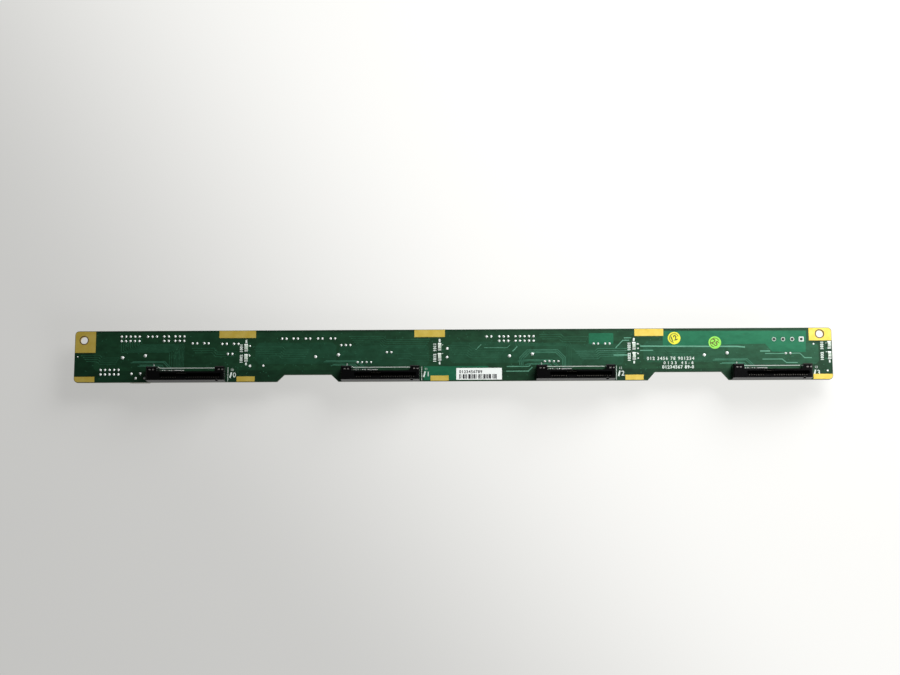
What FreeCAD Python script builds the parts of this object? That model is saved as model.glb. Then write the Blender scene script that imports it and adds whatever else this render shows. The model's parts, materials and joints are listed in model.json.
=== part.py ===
"""Drive backplane board: a long circuit board that lies on its rear components, drive side up.

Model frame, in millimetres: +X runs along the board from bay 0 to bay 3, +Y runs from the edge that
carries the drive connectors to the edge with the long ground lands, and +Z points out of the drive
side. The origin is the centre of the board's outline, level with the tips of the tallest rear parts.
"""
import FreeCAD, Part
import math
import os
import re

import Sketcher
from FreeCAD import Placement, Rotation, Vector

# ---------------------------------------------------------------- driving dimensions
SIZES = {
    # board blank
    "board_width": 29.4,
    "board_thickness": 1.6,
    "corner_radius": 2.2,
    "notch_a_from_lamps": 17.7,
    "notch_a_to_connector": 1.9,
    "notch_a_depth": 3.95,
    "notch_b_from_lamps": 7.45,
    "notch_b_to_connector": 1.55,
    "notch_b_depth": 4.65,
    "notch_slope": 4.1,
    # mounting holes, from the ends and from the far edge
    "mount_hole_radius": 2.15,
    "mount_left_inset": 5.15,
    "mount_left_drop": 5.25,
    "mount_right_inset": 6.65,
    "mount_right_drop": 3.5,
    # drive bays, from the left end to the first connector's middle and on
    "bay_count": 4,
    "bay_pitch": 109.22,
    "left_end_margin": 64.15,
    # ground lands along the edges
    "land_thickness": 0.1,
    "land_setback": 0.2,
    "long_land_depth": 4.1,
    "short_land_depth": 2.9,
    "short_land_length": 10.2,
    # drive connectors, y from the connector's edge face
    "connector_left_margin": 8.95,
    "connector_right_margin": 3.2,
    "connector_depth": 4.9,
    "connector_height": 8.0,
    "ear_reach": 3.0,
    "ear_left_width": 6.0,
    "ear_right_width": 5.2,
    "ear_chamfer": 0.6,
    "slot_y": 2.0,
    "slot_width": 1.9,
    "slot_floor": 2.0,
    "slot_end_margin": 1.3,
    "key_inset": 4.35,
    "key_width": 1.4,
    "key_depth": 0.55,
    "key_height": 4.2,
    "contact_pitch": 1.27,
    "signal_count": 7,
    "power_gap": 6.35,
    "power_count": 15,
    "second_pitch": 0.8,
    "second_count": 7,
    "second_gap": 0.78,
    "pocket_width": 0.8,
    "pocket_depth": 1.05,
    "second_pocket_width": 0.5,
    "second_pocket_depth": 0.6,
    "contact_thickness": 0.25,
    "contact_width": 0.6,
    "second_contact_width": 0.36,
    "contact_clearance": 0.05,
    "contact_bow": 0.9,
    "second_contact_bow": 0.45,
    "contact_top_gap": 0.7,
    "contact_crest": 0.65,
    "tail_clearance": 0.3,
    "tail_reach": 2.4,
    "tail_thickness": 0.25,
    "second_tail_gap": 0.68,
    "second_tail_width": 0.45,
    "lock_left_inset": 3.2,
    "lock_right_inset": 1.9,
    "lock_from_rear": 1.95,
    "lock_spacing": 1.9,
    "lock_width": 1.0,
    "lock_depth": 0.7,
    "lock_stand": 0.15,
    # status lamps, from the connector's middle and from the far edge
    "lamp_offset": 33.05,
    "lamp_edge_gap": 0.59,
    "lamp_drop": 9.85,
    "lamp_pitch": 5.85,
    "lamp_length": 3.2,
    "lamp_width": 1.9,
    "lamp_base_height": 0.5,
    "lamp_lens_length": 2.1,
    "lamp_lens_height": 0.6,
    "lamp_lens_taper": 12,
    "fillet_reach": 0.6,
    "fillet_height": 0.45,
    # rear data headers, one beside each connector's left end
    "data_header_gap": 0.05,
    "data_header_length": 16.8,
    "data_header_width": 6.2,
    "data_header_height": 8.4,
    "data_cavity_length": 12.6,
    "data_cavity_width": 3.7,
    "data_cavity_depth": 6.2,
    "data_tongue_length": 10.6,
    "data_tongue_width": 1.2,
    "data_tongue_drop": 0.8,
    "data_key_width": 1.2,
    "data_contact_width": 0.6,
    "data_contact_thickness": 0.2,
    "peg_spacing": 12.87,
    "peg_offset": 1.07,
    # power inlet, from the right end and from the far edge
    "power_inlet_gap": 13.15,
    "power_inlet_drop": 6.5,
    "power_pin_pitch": 5.08,
    "power_pin_count": 4,
    "power_pin_radius": 1.05,
    "power_shell_end": 3.83,
    "power_shell_width": 9.4,
    "power_shell_height": 11.5,
    "power_wall": 1.0,
    "power_cavity_depth": 9.0,
    "power_shell_bevel": 2.6,
    "power_pin_drop": 1.2,
    # pin headers
    "pin_pitch": 2.54,
    "pin_width": 0.64,
    "pin_base_height": 2.54,
    "pin_reach": 6.0,
    "locking_base_height": 3.2,
    "locking_base_depth": 5.4,
    "locking_wall_thickness": 1.0,
    "locking_wall_height": 11.5,
    "locking_wall_inset": 1.2,
    "staggered_gap": 0.33,
    "staggered_rise": 4.9,
    "staggered_pitch": 2.5,
    "staggered_count": 4,
    "staggered_end": 1.85,
    "staggered_width": 6.0,
    "staggered_height": 7.0,
    "staggered_wall": 0.9,
    "staggered_floor": 1.5,
    # lines of rear parts: distances from the far edge, from the near edge or from the middle
    "header_line_a": 3.25,
    "header_line_b": 4.15,
    "header_line_c": 7.15,
    "can_line_a": 7.65,
    "can_line_b": 7.25,
    "can_line_c": 4.85,
    "can_line_d": 8.5,
    "single_can_y": 1.8,
    "locking_y": -3.8,
    "rear_clearance": 0.15,
    # electrolytic capacitors: their height carries the board
    "capacitor_radius": 3.15,
    "capacitor_height": 11.5,
    "capacitor_lead_pitch": 2.5,
    # flats that stand for a round outline
    "can_flats": 20,
    "pin_flats": 12,
    "sticker_flats": 28,
    # solder joints on the drive side
    "joint_radius": 0.8,
    "power_joint_radius": 1.35,
    "peg_joint_radius": 1.1,
    "joint_height": 0.8,
    "joint_crown": 0.45,
    # label and stickers
    "label_from_lamps": 9.4,
    "label_rise": 4.0,
    "label_length": 25.6,
    "label_width": 6.6,
    "label_thickness": 0.1,
    "sticker_radius": 3.55,
    "yellow_gap": 2.45,
    "yellow_drop": 5.6,
    "green_from_connector": 8.85,
    "green_drop": 8.25,
}

# sizes and places that follow from the ones above
DERIVED = {
    "right_end_margin": "lamp_offset + lamp_width / 2 + lamp_edge_gap",
    "board_length": "left_end_margin + (bay_count - 1) * bay_pitch + right_end_margin",
    "left_x": "-board_length / 2",
    "right_x": "board_length / 2",
    "near_y": "-board_width / 2",
    "far_y": "board_width / 2",
    "board_top": "capacitor_height + board_thickness",
    "signal_span": "(signal_count - 1) * contact_pitch",
    "power_span": "(power_count - 1) * contact_pitch",
    "signal_and_power_span": "signal_span + power_gap + power_span",
    "connector_length": "signal_and_power_span + connector_left_margin + connector_right_margin",
    "connector_left": "-connector_length / 2",
    "connector_right": "connector_length / 2",
    "ear_depth": "connector_depth + ear_reach",
    "signal_first_x": "connector_left + connector_left_margin",
    "power_first_x": "signal_first_x + signal_span + power_gap",
    "second_first_x": "signal_first_x + signal_span + second_gap",
    "second_last_x": "second_first_x + (second_count - 1) * second_pitch",
    "slot_far_y": "slot_y + slot_width",
    "tail_first_x": "connector_left + ear_left_width + tail_clearance + contact_width / 2",
    "second_tail_x": "tail_first_x + signal_span + second_tail_gap",
    "lock_y": "ear_depth - lock_from_rear",
    "lamp_upper_y": "far_y - lamp_drop",
    "lamp_lower_y": "lamp_upper_y - lamp_pitch",
    "mount_left_x": "left_x + mount_left_inset",
    "mount_left_y": "far_y - mount_left_drop",
    "mount_right_x": "right_x - mount_right_inset",
    "mount_right_y": "far_y - mount_right_drop",
    "data_header_offset": "connector_left - data_header_gap - data_header_length / 2",
    "power_pin_span": "(power_pin_count - 1) * power_pin_pitch",
    "power_shell_length": "power_pin_span + 2 * power_shell_end",
    "power_inlet_x": "right_x - power_inlet_gap - power_shell_length / 2",
    "power_inlet_y": "far_y - power_inlet_drop",
    "can_width": "2 * capacitor_radius",
    "staggered_span": "(staggered_count - 1) * staggered_pitch",
    "staggered_length": "staggered_span + 2 * staggered_end",
    "staggered_y": "near_y + staggered_rise",
}

# long ground lands on the far edge: distance of the middle from the bay's lamps, and length
LONG_LANDS = ((-4.95, 20.7), (-5.6, 17.2), (8.55, 16.2))
# corner lands: name, length along X and depth along Y
CORNER_LANDS = {
    "far_left": (11.6, 12.2),
    "far_right": (12.5, 7.1),
    "near_left": (11.5, 3.1),
    "near_right": (10.7, 2.9),
}
# columns and rows of pins in each kind of header on the rear
HEADER_PINS = {
    "pin_header_two_by_five": (5, 2),
    "pin_header_two_by_three": (3, 2),
    "pin_header_two_by_two": (2, 2),
    "pin_header_one_by_two": (2, 1),
    "locking_header_four_way": (4, 1),
    "locking_header_three_way": (3, 1),
}


def bay_x(bay):
    """The middle of a bay's drive connector."""
    return f"(left_x + left_end_margin + {bay} * bay_pitch)"


def lamp_x(bay):
    """The column of a bay's status lamps."""
    return f"({bay_x(bay)} + lamp_offset)"


BESIDE_DATA_HEADER = "data_header_width / 2 + rear_clearance + locking_base_depth / 2"
BESIDE_POWER_INLET = "power_inlet_y - power_shell_width / 2 - rear_clearance - capacitor_radius"
STAGGERED_LEFT = f"({bay_x(0)} + connector_left - staggered_gap - staggered_length)"
# rear parts in rows: where the row starts, then its parts from right to left as kind, gap to the part or
# place on its right, and y of the first pin or of the can's middle
REAR_ROWS = (
    (f"{lamp_x(0)} - lamp_width / 2", (
        ("can", 1.65, "far_y - can_line_a"),
        ("can", 0.35, "far_y - can_line_a"),
        ("can", 3.95, "far_y - can_line_b"),
        ("can", 0.2, "far_y - can_line_b"),
        ("pin_header_two_by_three", 1.7, "far_y - header_line_a"),
        ("pin_header_two_by_two", 1.2, "far_y - header_line_a"),
        ("locking_header_three_way", 1.65, "far_y - header_line_a"),
        ("pin_header_two_by_five", 2.25, "far_y - header_line_a"),
    )),
    (STAGGERED_LEFT, (
        ("pin_header_two_by_five", 4.25, "near_y + header_line_c"),
    )),
    (bay_x(1), (
        ("locking_header_three_way", 16.1, BESIDE_DATA_HEADER),
        ("can", 0.4, "far_y - can_line_c"),
        ("can", 0.85, "far_y - can_line_c"),
        ("can", 0.6, "far_y - can_line_c"),
        ("can", 0.65, "far_y - can_line_c"),
        ("can", 0.15, "far_y - can_line_c"),
    )),
    (bay_x(1), (
        ("locking_header_four_way", 4.3, "locking_y"),
    )),
    (lamp_x(1), (
        ("can", 25.35, "single_can_y"),
    )),
    (bay_x(2), (
        ("pin_header_two_by_five", 22.0, "far_y - header_line_b"),
        ("pin_header_two_by_three", 1.55, "far_y - header_line_b"),
        ("pin_header_one_by_two", 1.95, "far_y - header_line_b"),
    )),
    (bay_x(2), (
        ("locking_header_four_way", 8.15, "locking_y"),
    )),
    (lamp_x(2), (
        ("can", 11.75, "far_y - can_line_d"),
        ("can", 0.1, "far_y - can_line_d"),
    )),
)
for bay, (land_shift, land_length) in enumerate(LONG_LANDS):
    SIZES[f"land_{bay}_shift"] = land_shift
    SIZES[f"land_{bay}_length"] = land_length
for name, (land_length, land_depth) in CORNER_LANDS.items():
    SIZES[f"land_{name}_length"] = land_length
    SIZES[f"land_{name}_depth"] = land_depth
for row, (start, parts) in enumerate(REAR_ROWS):
    for step, (kind, gap, y) in enumerate(parts):
        SIZES[f"row_{row}_gap_{step}"] = gap

document = FreeCAD.newDocument("drive_backplane")
sheet = document.addObject("Spreadsheet::Sheet", "Sizes")
for row, (alias, number) in enumerate(SIZES.items(), start=1):
    sheet.set(f"A{row}", alias)
    sheet.set(f"B{row}", str(number))
    sheet.setAlias(f"B{row}", alias)
document.recompute()

REAR_FLIP = Rotation(Vector(1, 0, 0), 180)
STAND_UP = Rotation(Vector(1, 0, 0), 90)
SUB_PARTS = []


# ---------------------------------------------------------------- helpers
def count(alias):
    """A whole number read from the sheet."""
    return int(round(float(sheet.get(alias))))


def cells(text):
    """The expression with derived names worked out and each size's name pointed at its cell."""
    def resolve(word):
        if word[0] in DERIVED:
            return f"({cells(DERIVED[word[0]])})"
        return f"Sizes.{word[0]}" if word[0] in SIZES else word[0]
    return re.sub(r"[a-z][a-z_0-9]*", resolve, text)


def bind(item, **expressions):
    """Tie properties of an object to sizes: Length="board_length", or x, y, z for its place."""
    for prop, text in expressions.items():
        path = f".Placement.Base.{prop}" if prop in "xyz" else prop
        item.setExpression(path, cells(text))
    return item


def sub_part(item, label):
    """Name a finished sub-part; the label is also its file's name."""
    item.Label = label
    SUB_PARTS.append(item)
    return item


def new_body(label):
    body = document.addObject("PartDesign::Body", label)
    body.AllowCompound = True
    return body


def origin_part(body, role):
    return next(item for item in body.Origin.OriginFeatures if item.Role == role)


def new_sketch(body, name, plane="XY_Plane", lift=None):
    """A sketch on one of the body's own origin planes, raised along the plane's normal."""
    sketch = body.newObject("Sketcher::SketchObject", name)
    sketch.AttachmentSupport = [(origin_part(body, plane), "")]
    sketch.MapMode = "FlatFace"
    if lift:
        sketch.setExpression(".AttachmentOffset.Base.z", cells(lift))
    return sketch


def place_point(sketch, geometry, point, x, y):
    """Hold a point at x and y from the sketch's origin."""
    for kind, text in (("DistanceX", x), ("DistanceY", y)):
        index = sketch.addConstraint(Sketcher.Constraint(kind, -1, 1, geometry, point, 1.0))
        sketch.setExpression(f"Constraints[{index}]", cells(text))


def polygon(sketch, corners):
    """A closed outline through corners given as pairs of expressions."""
    turn = 2 * math.pi / len(corners)
    rough = [Vector(math.cos(turn * i), math.sin(turn * i), 0) for i in range(len(corners))]
    first = sketch.GeometryCount
    for i, start in enumerate(rough):
        sketch.addGeometry(Part.LineSegment(start, rough[(i + 1) % len(rough)]), False)
    for i in range(len(corners)):
        after = first + (i + 1) % len(corners)
        sketch.addConstraint(Sketcher.Constraint("Coincident", first + i, 2, after, 1))
    for i, (x, y) in enumerate(corners):
        place_point(sketch, first + i, 1, x, y)


def rectangle(sketch, low_x, low_y, high_x, high_y):
    polygon(sketch, [(low_x, low_y), (high_x, low_y), (high_x, high_y), (low_x, high_y)])


def circle(sketch, x, y, radius):
    index = sketch.addGeometry(Part.Circle(Vector(0, 0, 0), Vector(0, 0, 1), 1), False)
    place_point(sketch, index, 3, x, y)
    held = sketch.addConstraint(Sketcher.Constraint("Radius", index, 1.0))
    sketch.setExpression(f"Constraints[{held}]", cells(radius))


def pad(body, sketch, length, name="Pad", symmetric=False):
    feature = body.newObject("PartDesign::Pad", name)
    feature.Profile = sketch
    if symmetric:
        feature.Midplane = True
    feature.setExpression("Length", cells(length))
    sketch.Visibility = False
    return feature


def pocket(body, sketch, length, name="Pocket", upward=False):
    """Cut a sketch into the solid: down from its plane, or upward."""
    document.recompute()
    before = body.Shape.Volume
    feature = body.newObject("PartDesign::Pocket", name)
    feature.Profile = sketch
    feature.Reversed = upward
    feature.setExpression("Length", cells(length))
    sketch.Visibility = False
    document.recompute()
    if body.Shape.Volume > before - 1e-6:
        raise ValueError(f"{body.Label}: {name} cuts nothing")
    return feature


def row_of(body, feature, occurrences, pitch, name="Row"):
    """Repeat a feature along the body's X axis."""
    pattern = body.newObject("PartDesign::LinearPattern", name)
    pattern.Originals = [feature]
    pattern.Direction = (origin_part(body, "X_Axis"), [""])
    pattern.setExpression("Length", cells(f"{pitch} * ({occurrences} - 1)"))
    pattern.setExpression("Occurrences", cells(occurrences))
    body.Tip = pattern
    return pattern


def outer_corners(shape, reach=0.01):
    """Names of the upright edges at the four corners of the shape's outline."""
    whole = shape.BoundBox
    names = []
    for i, edge in enumerate(shape.Edges, start=1):
        box = edge.BoundBox
        upright = box.XLength < reach and box.YLength < reach
        at_end = min(box.XMin - whole.XMin, whole.XMax - box.XMax) < reach
        at_side = min(box.YMin - whole.YMin, whole.YMax - box.YMax) < reach
        if upright and at_end and at_side:
            names.append(f"Edge{i}")
    return names


def fillet(body, edges, radius, name="Fillet"):
    support = body.Tip
    feature = body.newObject("PartDesign::Fillet", name)
    feature.Base = (support, edges)
    feature.setExpression("Radius", cells(radius))
    body.Tip = feature
    return feature


def block(name, x, y, z, length, width, height):
    """A Part box by its low corner and its three sizes."""
    item = document.addObject("Part::Box", name)
    bind(item, x=x, y=y, z=z, Length=length, Width=width, Height=height)
    return item


def rod(name, x, y, z, radius, height, flats):
    """An upright round piece, drawn with a stated number of flats to keep its mesh light."""
    item = document.addObject("Part::Prism", name)
    item.setExpression("Polygon", cells(flats))
    return bind(item, Circumradius=radius, Height=height, x=x, y=y, z=z)


def group(label, items):
    """Separate like pieces that share one node."""
    compound = document.addObject("Part::Compound", label)
    compound.Links = items
    return sub_part(compound, label)


# ---------------------------------------------------------------- board
def circuit_board():
    """Blank with two edge notches and two mounting holes."""
    body = new_body("circuit_board")
    corners = [("left_x", "near_y")]
    for bay, notch in ((0, "notch_a"), (2, "notch_b")):
        start = f"{lamp_x(bay)} + {notch}_from_lamps"
        end = f"{bay_x(bay + 1)} + connector_left - {notch}_to_connector"
        corners.append((start, "near_y"))
        corners.append((f"{start} + notch_slope", f"near_y + {notch}_depth"))
        corners.append((f"{end} - notch_slope", f"near_y + {notch}_depth"))
        corners.append((end, "near_y"))
    corners.extend([("right_x", "near_y"), ("right_x", "far_y"), ("left_x", "far_y")])
    outline = new_sketch(body, "Outline")
    polygon(outline, corners)
    pad(body, outline, "board_thickness", "Blank")
    document.recompute()
    fillet(body, outer_corners(body.Shape), "corner_radius", "OuterCorners")
    mount_holes(body, "board_thickness")
    bind(body, z="capacitor_height")
    return sub_part(body, "circuit_board")


def mount_holes(body, depth):
    """Both screw holes, right through."""
    holes = new_sketch(body, "MountHoles")
    circle(holes, "mount_left_x", "mount_left_y", "mount_hole_radius")
    circle(holes, "mount_right_x", "mount_right_y", "mount_hole_radius")
    pocket(body, holes, depth, "MountHoleCut", upward=True)


def edge_lands():
    """Bare plated lands along both edges and round the mounting holes."""
    body = new_body("edge_lands")
    sketch = new_sketch(body, "Lands")
    top = "far_y - land_setback"
    bottom = "near_y + land_setback"
    left = "left_x + land_setback"
    right = "right_x - land_setback"
    for bay in range(len(LONG_LANDS)):
        low_x = f"{lamp_x(bay)} + land_{bay}_shift - land_{bay}_length / 2"
        rectangle(sketch, low_x, f"{top} - long_land_depth", f"{low_x} + land_{bay}_length", top)
    for bay in range(count("bay_count") - 1):
        low_x = f"{lamp_x(bay)} - short_land_length / 2"
        rectangle(sketch, low_x, bottom, f"{low_x} + short_land_length", f"{bottom} + short_land_depth")
    rectangle(sketch, left, f"{top} - land_far_left_depth", f"{left} + land_far_left_length", top)
    rectangle(sketch, f"{right} - land_far_right_length", f"{top} - land_far_right_depth", right, top)
    rectangle(sketch, left, bottom, f"{left} + land_near_left_length", f"{bottom} + land_near_left_depth")
    rectangle(sketch, f"{right} - land_near_right_length", bottom, right, f"{bottom} + land_near_right_depth")
    pad(body, sketch, "land_thickness", "Plating")
    document.recompute()
    fillet(body, outer_corners(body.Shape), "corner_radius - land_setback", "OuterCorners")
    mount_holes(body, "land_thickness")
    bind(body, z="board_top")
    return sub_part(body, "edge_lands")


# ---------------------------------------------------------------- drive connectors
LOCKS = [
    f"{ear} {sign} lock_spacing / 2"
    for ear in ("connector_left + lock_left_inset", "connector_right - lock_right_inset")
    for sign in ("-", "+")
]


def place_in_bay(item, bay):
    """Put a connector's piece in its bay: middle of the connector, edge face, board's top."""
    bind(item, x=bay_x(bay), y="near_y", z="board_top")
    return item


def drive_connector(bay):
    """Moulded receptacle housing: slot for the drive's tongue, contact pockets, ears and key groove."""
    body = new_body(f"drive_connector_{bay}")
    plan = new_sketch(body, "Plan")
    polygon(plan, [
        ("connector_left", "0"),
        ("connector_right", "0"),
        ("connector_right", "ear_depth"),
        ("connector_right - ear_right_width", "ear_depth"),
        ("connector_right - ear_right_width", "connector_depth"),
        ("connector_left + ear_left_width", "connector_depth"),
        ("connector_left + ear_left_width", "ear_depth"),
        ("connector_left", "ear_depth"),
    ])
    pad(body, plan, "connector_height", "Moulding")
    document.recompute()

    top = body.Shape.BoundBox.ZMax
    back = body.Shape.BoundBox.YMax
    rims = []
    for i, edge in enumerate(body.Shape.Edges, start=1):
        box = edge.BoundBox
        on_side = box.XLength < 0.01 and abs(box.XMin) > body.Shape.BoundBox.XMax - 0.01
        on_back = box.YLength < 0.01 and box.YMin > back - 0.01
        if box.ZMin > top - 0.01 and (on_side or on_back):
            rims.append(f"Edge{i}")
    support = body.Tip
    chamfer = body.newObject("PartDesign::Chamfer", "EarLeadIn")
    chamfer.Base = (support, rims)
    chamfer.setExpression("Size", cells("ear_chamfer"))
    body.Tip = chamfer

    slot = new_sketch(body, "Slot", lift="connector_height")
    rectangle(slot, "signal_first_x - slot_end_margin", "slot_y",
              "power_first_x + power_span + slot_end_margin", "slot_far_y")
    pocket(body, slot, "connector_height - slot_floor", "TongueSlot")

    near = "slot_y - pocket_depth"
    for name, first, occurrences in (
        ("Signal", "signal_first_x", "signal_count"),
        ("Power", "power_first_x", "power_count"),
    ):
        cut = new_sketch(body, f"{name}Pocket", lift="connector_height")
        rectangle(cut, f"{first} - pocket_width / 2", near, f"{first} + pocket_width / 2", "slot_y")
        row_of(body, pocket(body, cut, "connector_height", f"{name}PocketCut"),
               occurrences, "contact_pitch", f"{name}PocketRow")

    cut = new_sketch(body, "SecondPocket", lift="connector_height")
    rectangle(cut, "second_first_x - second_pocket_width / 2", "slot_far_y",
              "second_last_x + second_pocket_width / 2", "slot_far_y + second_pocket_depth")
    pocket(body, cut, "connector_height", "SecondPocketCut")

    key = new_sketch(body, "KeyGroove", lift="connector_height")
    rectangle(key, "connector_right - key_inset - key_width / 2", "0",
              "connector_right - key_inset + key_width / 2", "key_depth")
    pocket(body, key, "key_height", "KeyGrooveCut")

    locks = new_sketch(body, "LockHoles", lift="connector_height")
    for x in LOCKS:
        rectangle(locks, f"{x} - lock_width / 2", "lock_y - lock_depth / 2",
                  f"{x} + lock_width / 2", "lock_y + lock_depth / 2")
    pocket(body, locks, "connector_height", "LockHoleCut")
    place_in_bay(body, bay)
    return sub_part(body, body.Label)


def contact_row(label, bay, first_x, occurrences, pitch, width, wall_y, side, bow):
    """Formed spring contacts: a strip that stands in its pocket and bows out into the slot.

    side is "+" where the slot lies on the wall's +Y side, and "-" where it lies on the other.
    """
    body = new_body(label)
    profile = new_sketch(body, "Strip", plane="YZ_Plane", lift=first_x)
    back = f"{wall_y} {side} contact_clearance"
    crest = f"{back} {side} {bow}"
    lip = f"{back} {side} {bow} / 2"
    tip_z = "connector_height - contact_top_gap"
    crest_z = "slot_floor + contact_crest * (connector_height - slot_floor)"
    polygon(profile, [
        (back, "0"),
        (crest, crest_z),
        (lip, tip_z),
        (f"{lip} {side} contact_thickness", tip_z),
        (f"{crest} {side} contact_thickness", crest_z),
        (f"{back} {side} contact_thickness", "0"),
    ])
    strip = pad(body, profile, width, "Strip", symmetric=True)
    document.recompute()
    row_of(body, strip, occurrences, pitch)
    place_in_bay(body, bay)
    return sub_part(body, label)


def connector_contacts(bay):
    """The three rows of springs in one drive connector."""
    near_wall = "slot_y - pocket_depth"
    contact_row(f"signal_contacts_{bay}", bay, "signal_first_x", "signal_count", "contact_pitch",
                "contact_width", near_wall, "+", "contact_bow")
    contact_row(f"power_contacts_{bay}", bay, "power_first_x", "power_count", "contact_pitch",
                "contact_width", near_wall, "+", "contact_bow")
    contact_row(f"second_contacts_{bay}", bay, "second_first_x", "second_count", "second_pitch",
                "second_contact_width", "slot_far_y + second_pocket_depth", "-", "second_contact_bow")


def connector_tails(bay):
    """Flat solder feet that leave the housing's rear wall: a wide row and a fine row."""
    feet = []
    rows = (
        ("tail_first_x", "signal_count", "contact_pitch", "contact_width"),
        ("second_tail_x", "second_count", "second_pitch", "second_tail_width"),
    )
    for first, occurrences, pitch, width in rows:
        for i in range(count(occurrences)):
            x = f"{bay_x(bay)} + {first} + {i} * {pitch} - {width} / 2"
            feet.append(block("Foot", x, "near_y + connector_depth", "board_top",
                              width, "tail_reach", "tail_thickness"))
    return group(f"rear_tails_{bay}", feet)


def board_locks(bay):
    """Metal legs that hold the ears down, flush in their holes and just proud of the top."""
    legs = []
    for lock_x in LOCKS:
        legs.append(block("Leg", f"{bay_x(bay)} + {lock_x} - lock_width / 2",
                          "near_y + lock_y - lock_depth / 2", "board_top",
                          "lock_width", "lock_depth", "connector_height + lock_stand"))
    return group(f"board_locks_{bay}", legs)


# ---------------------------------------------------------------- status lamps
def status_lamp(label, bay, y):
    """Surface-mount lamp: flat base with a drafted lens."""
    body = new_body(label)
    base = new_sketch(body, "Base")
    rectangle(base, "-lamp_width / 2", "-lamp_length / 2", "lamp_width / 2", "lamp_length / 2")
    pad(body, base, "lamp_base_height", "Base")
    lens = new_sketch(body, "Lens", lift="lamp_base_height")
    rectangle(lens, "-lamp_width / 2", "-lamp_lens_length / 2", "lamp_width / 2", "lamp_lens_length / 2")
    moulded = pad(body, lens, "lamp_lens_height", "Lens")
    moulded.setExpression("TaperAngle", cells("-lamp_lens_taper"))
    bind(body, x=lamp_x(bay), y=y, z="board_top")
    return sub_part(body, label)


def lamp_solder():
    """A ramp of solder at both ends of each lamp."""
    ramps = []
    for bay in range(count("bay_count")):
        for y in ("lamp_upper_y", "lamp_lower_y"):
            for turn in (0, 180):
                ramp = document.addObject("Part::Wedge", "Ramp")
                for prop in ("Xmin", "Ymin", "Zmin", "X2min"):
                    setattr(ramp, prop, 0)
                bind(ramp, Xmax="lamp_width", X2max="lamp_width", Ymax="fillet_height",
                     Zmax="fillet_reach", Z2min="fillet_reach", Z2max="fillet_reach")
                ramp.Placement = Placement(Vector(), Rotation(Vector(0, 0, 1), turn) * STAND_UP)
                left, outward = ("-", "+") if turn == 0 else ("+", "-")
                bind(ramp, x=f"{lamp_x(bay)} {left} lamp_width / 2",
                     y=f"{y} {outward} (lamp_length / 2 + fillet_reach)", z="board_top")
                ramps.append(ramp)
    return group("lamp_solder", ramps)


# ---------------------------------------------------------------- rear data headers
def place_on_rear(item, x, y):
    """Stand a piece on the board's underside, so that its own +Z points away from the board."""
    item.Placement = Placement(Vector(), REAR_FLIP)
    return bind(item, x=x, y=y, z="capacitor_height")


def data_header(bay):
    """Shrouded seven-way header: shell, keyed cavity and the tongue that carries the contacts."""
    label = f"data_header_{bay}"
    body = new_body(label)
    plan = new_sketch(body, "Plan")
    rectangle(plan, "-data_header_length / 2", "-data_header_width / 2",
              "data_header_length / 2", "data_header_width / 2")
    pad(body, plan, "data_header_height", "Shell")
    cavity = new_sketch(body, "Cavity", lift="data_header_height")
    left = "-data_cavity_length / 2"
    right = "data_cavity_length / 2"
    wide = "data_cavity_width / 2"
    polygon(cavity, [
        (left, f"-{wide}"),
        (right, f"-{wide}"),
        (right, wide),
        (f"{left} + data_key_width", wide),
        (f"{left} + data_key_width", f"{wide} + data_key_width"),
        (left, f"{wide} + data_key_width"),
    ])
    pocket(body, cavity, "data_cavity_depth", "CavityCut")
    tongue = new_sketch(body, "Tongue", lift="data_header_height - data_cavity_depth")
    rectangle(tongue, "-data_tongue_length / 2", "-data_tongue_width / 2",
              "data_tongue_length / 2", "data_tongue_width / 2")
    pad(body, tongue, "data_cavity_depth - data_tongue_drop", "Tongue")
    place_on_rear(body, f"{bay_x(bay)} + data_header_offset", "0")
    return sub_part(body, label)


def data_contacts(bay):
    """Seven flat contacts along one face of the header's tongue."""
    label = f"data_contacts_{bay}"
    body = new_body(label)
    face = new_sketch(body, "Strip", lift="data_header_height - data_cavity_depth")
    first = "-(signal_count - 1) * contact_pitch / 2"
    side = "data_tongue_width / 2"
    rectangle(face, f"{first} - data_contact_width / 2", side,
              f"{first} + data_contact_width / 2", f"{side} + data_contact_thickness")
    strip = pad(body, face, "data_cavity_depth - 2 * data_tongue_drop", "Strip")
    document.recompute()
    row_of(body, strip, "signal_count", "contact_pitch")
    place_on_rear(body, f"{bay_x(bay)} + data_header_offset", "0")
    return sub_part(body, label)


# ---------------------------------------------------------------- power inlet
def bevelled_outline(sketch, wall):
    """The inlet's outline, two corners bevelled, taken in by the thickness of a wall."""
    half_length = f"(power_shell_length / 2 - {wall})"
    half_width = f"(power_shell_width / 2 - {wall})"
    polygon(sketch, [
        (f"-{half_length}", f"-{half_width}"),
        (half_length, f"-{half_width}"),
        (half_length, f"{half_width} - power_shell_bevel"),
        (f"{half_length} - power_shell_bevel", half_width),
        (f"power_shell_bevel - {half_length}", half_width),
        (f"-{half_length}", f"{half_width} - power_shell_bevel"),
    ])


def power_inlet():
    """Open shell with two bevelled corners and a floor that holds the pins."""
    body = new_body("power_inlet")
    plan = new_sketch(body, "Plan")
    bevelled_outline(plan, "0")
    pad(body, plan, "power_shell_height", "Shell")
    cavity = new_sketch(body, "Cavity", lift="power_shell_height")
    bevelled_outline(cavity, "power_wall")
    pocket(body, cavity, "power_cavity_depth", "CavityCut")
    place_on_rear(body, "power_inlet_x", "power_inlet_y")
    return sub_part(body, "power_inlet")


def power_pin_x(way):
    return f"power_inlet_x - power_pin_span / 2 + {way} * power_pin_pitch"


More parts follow.
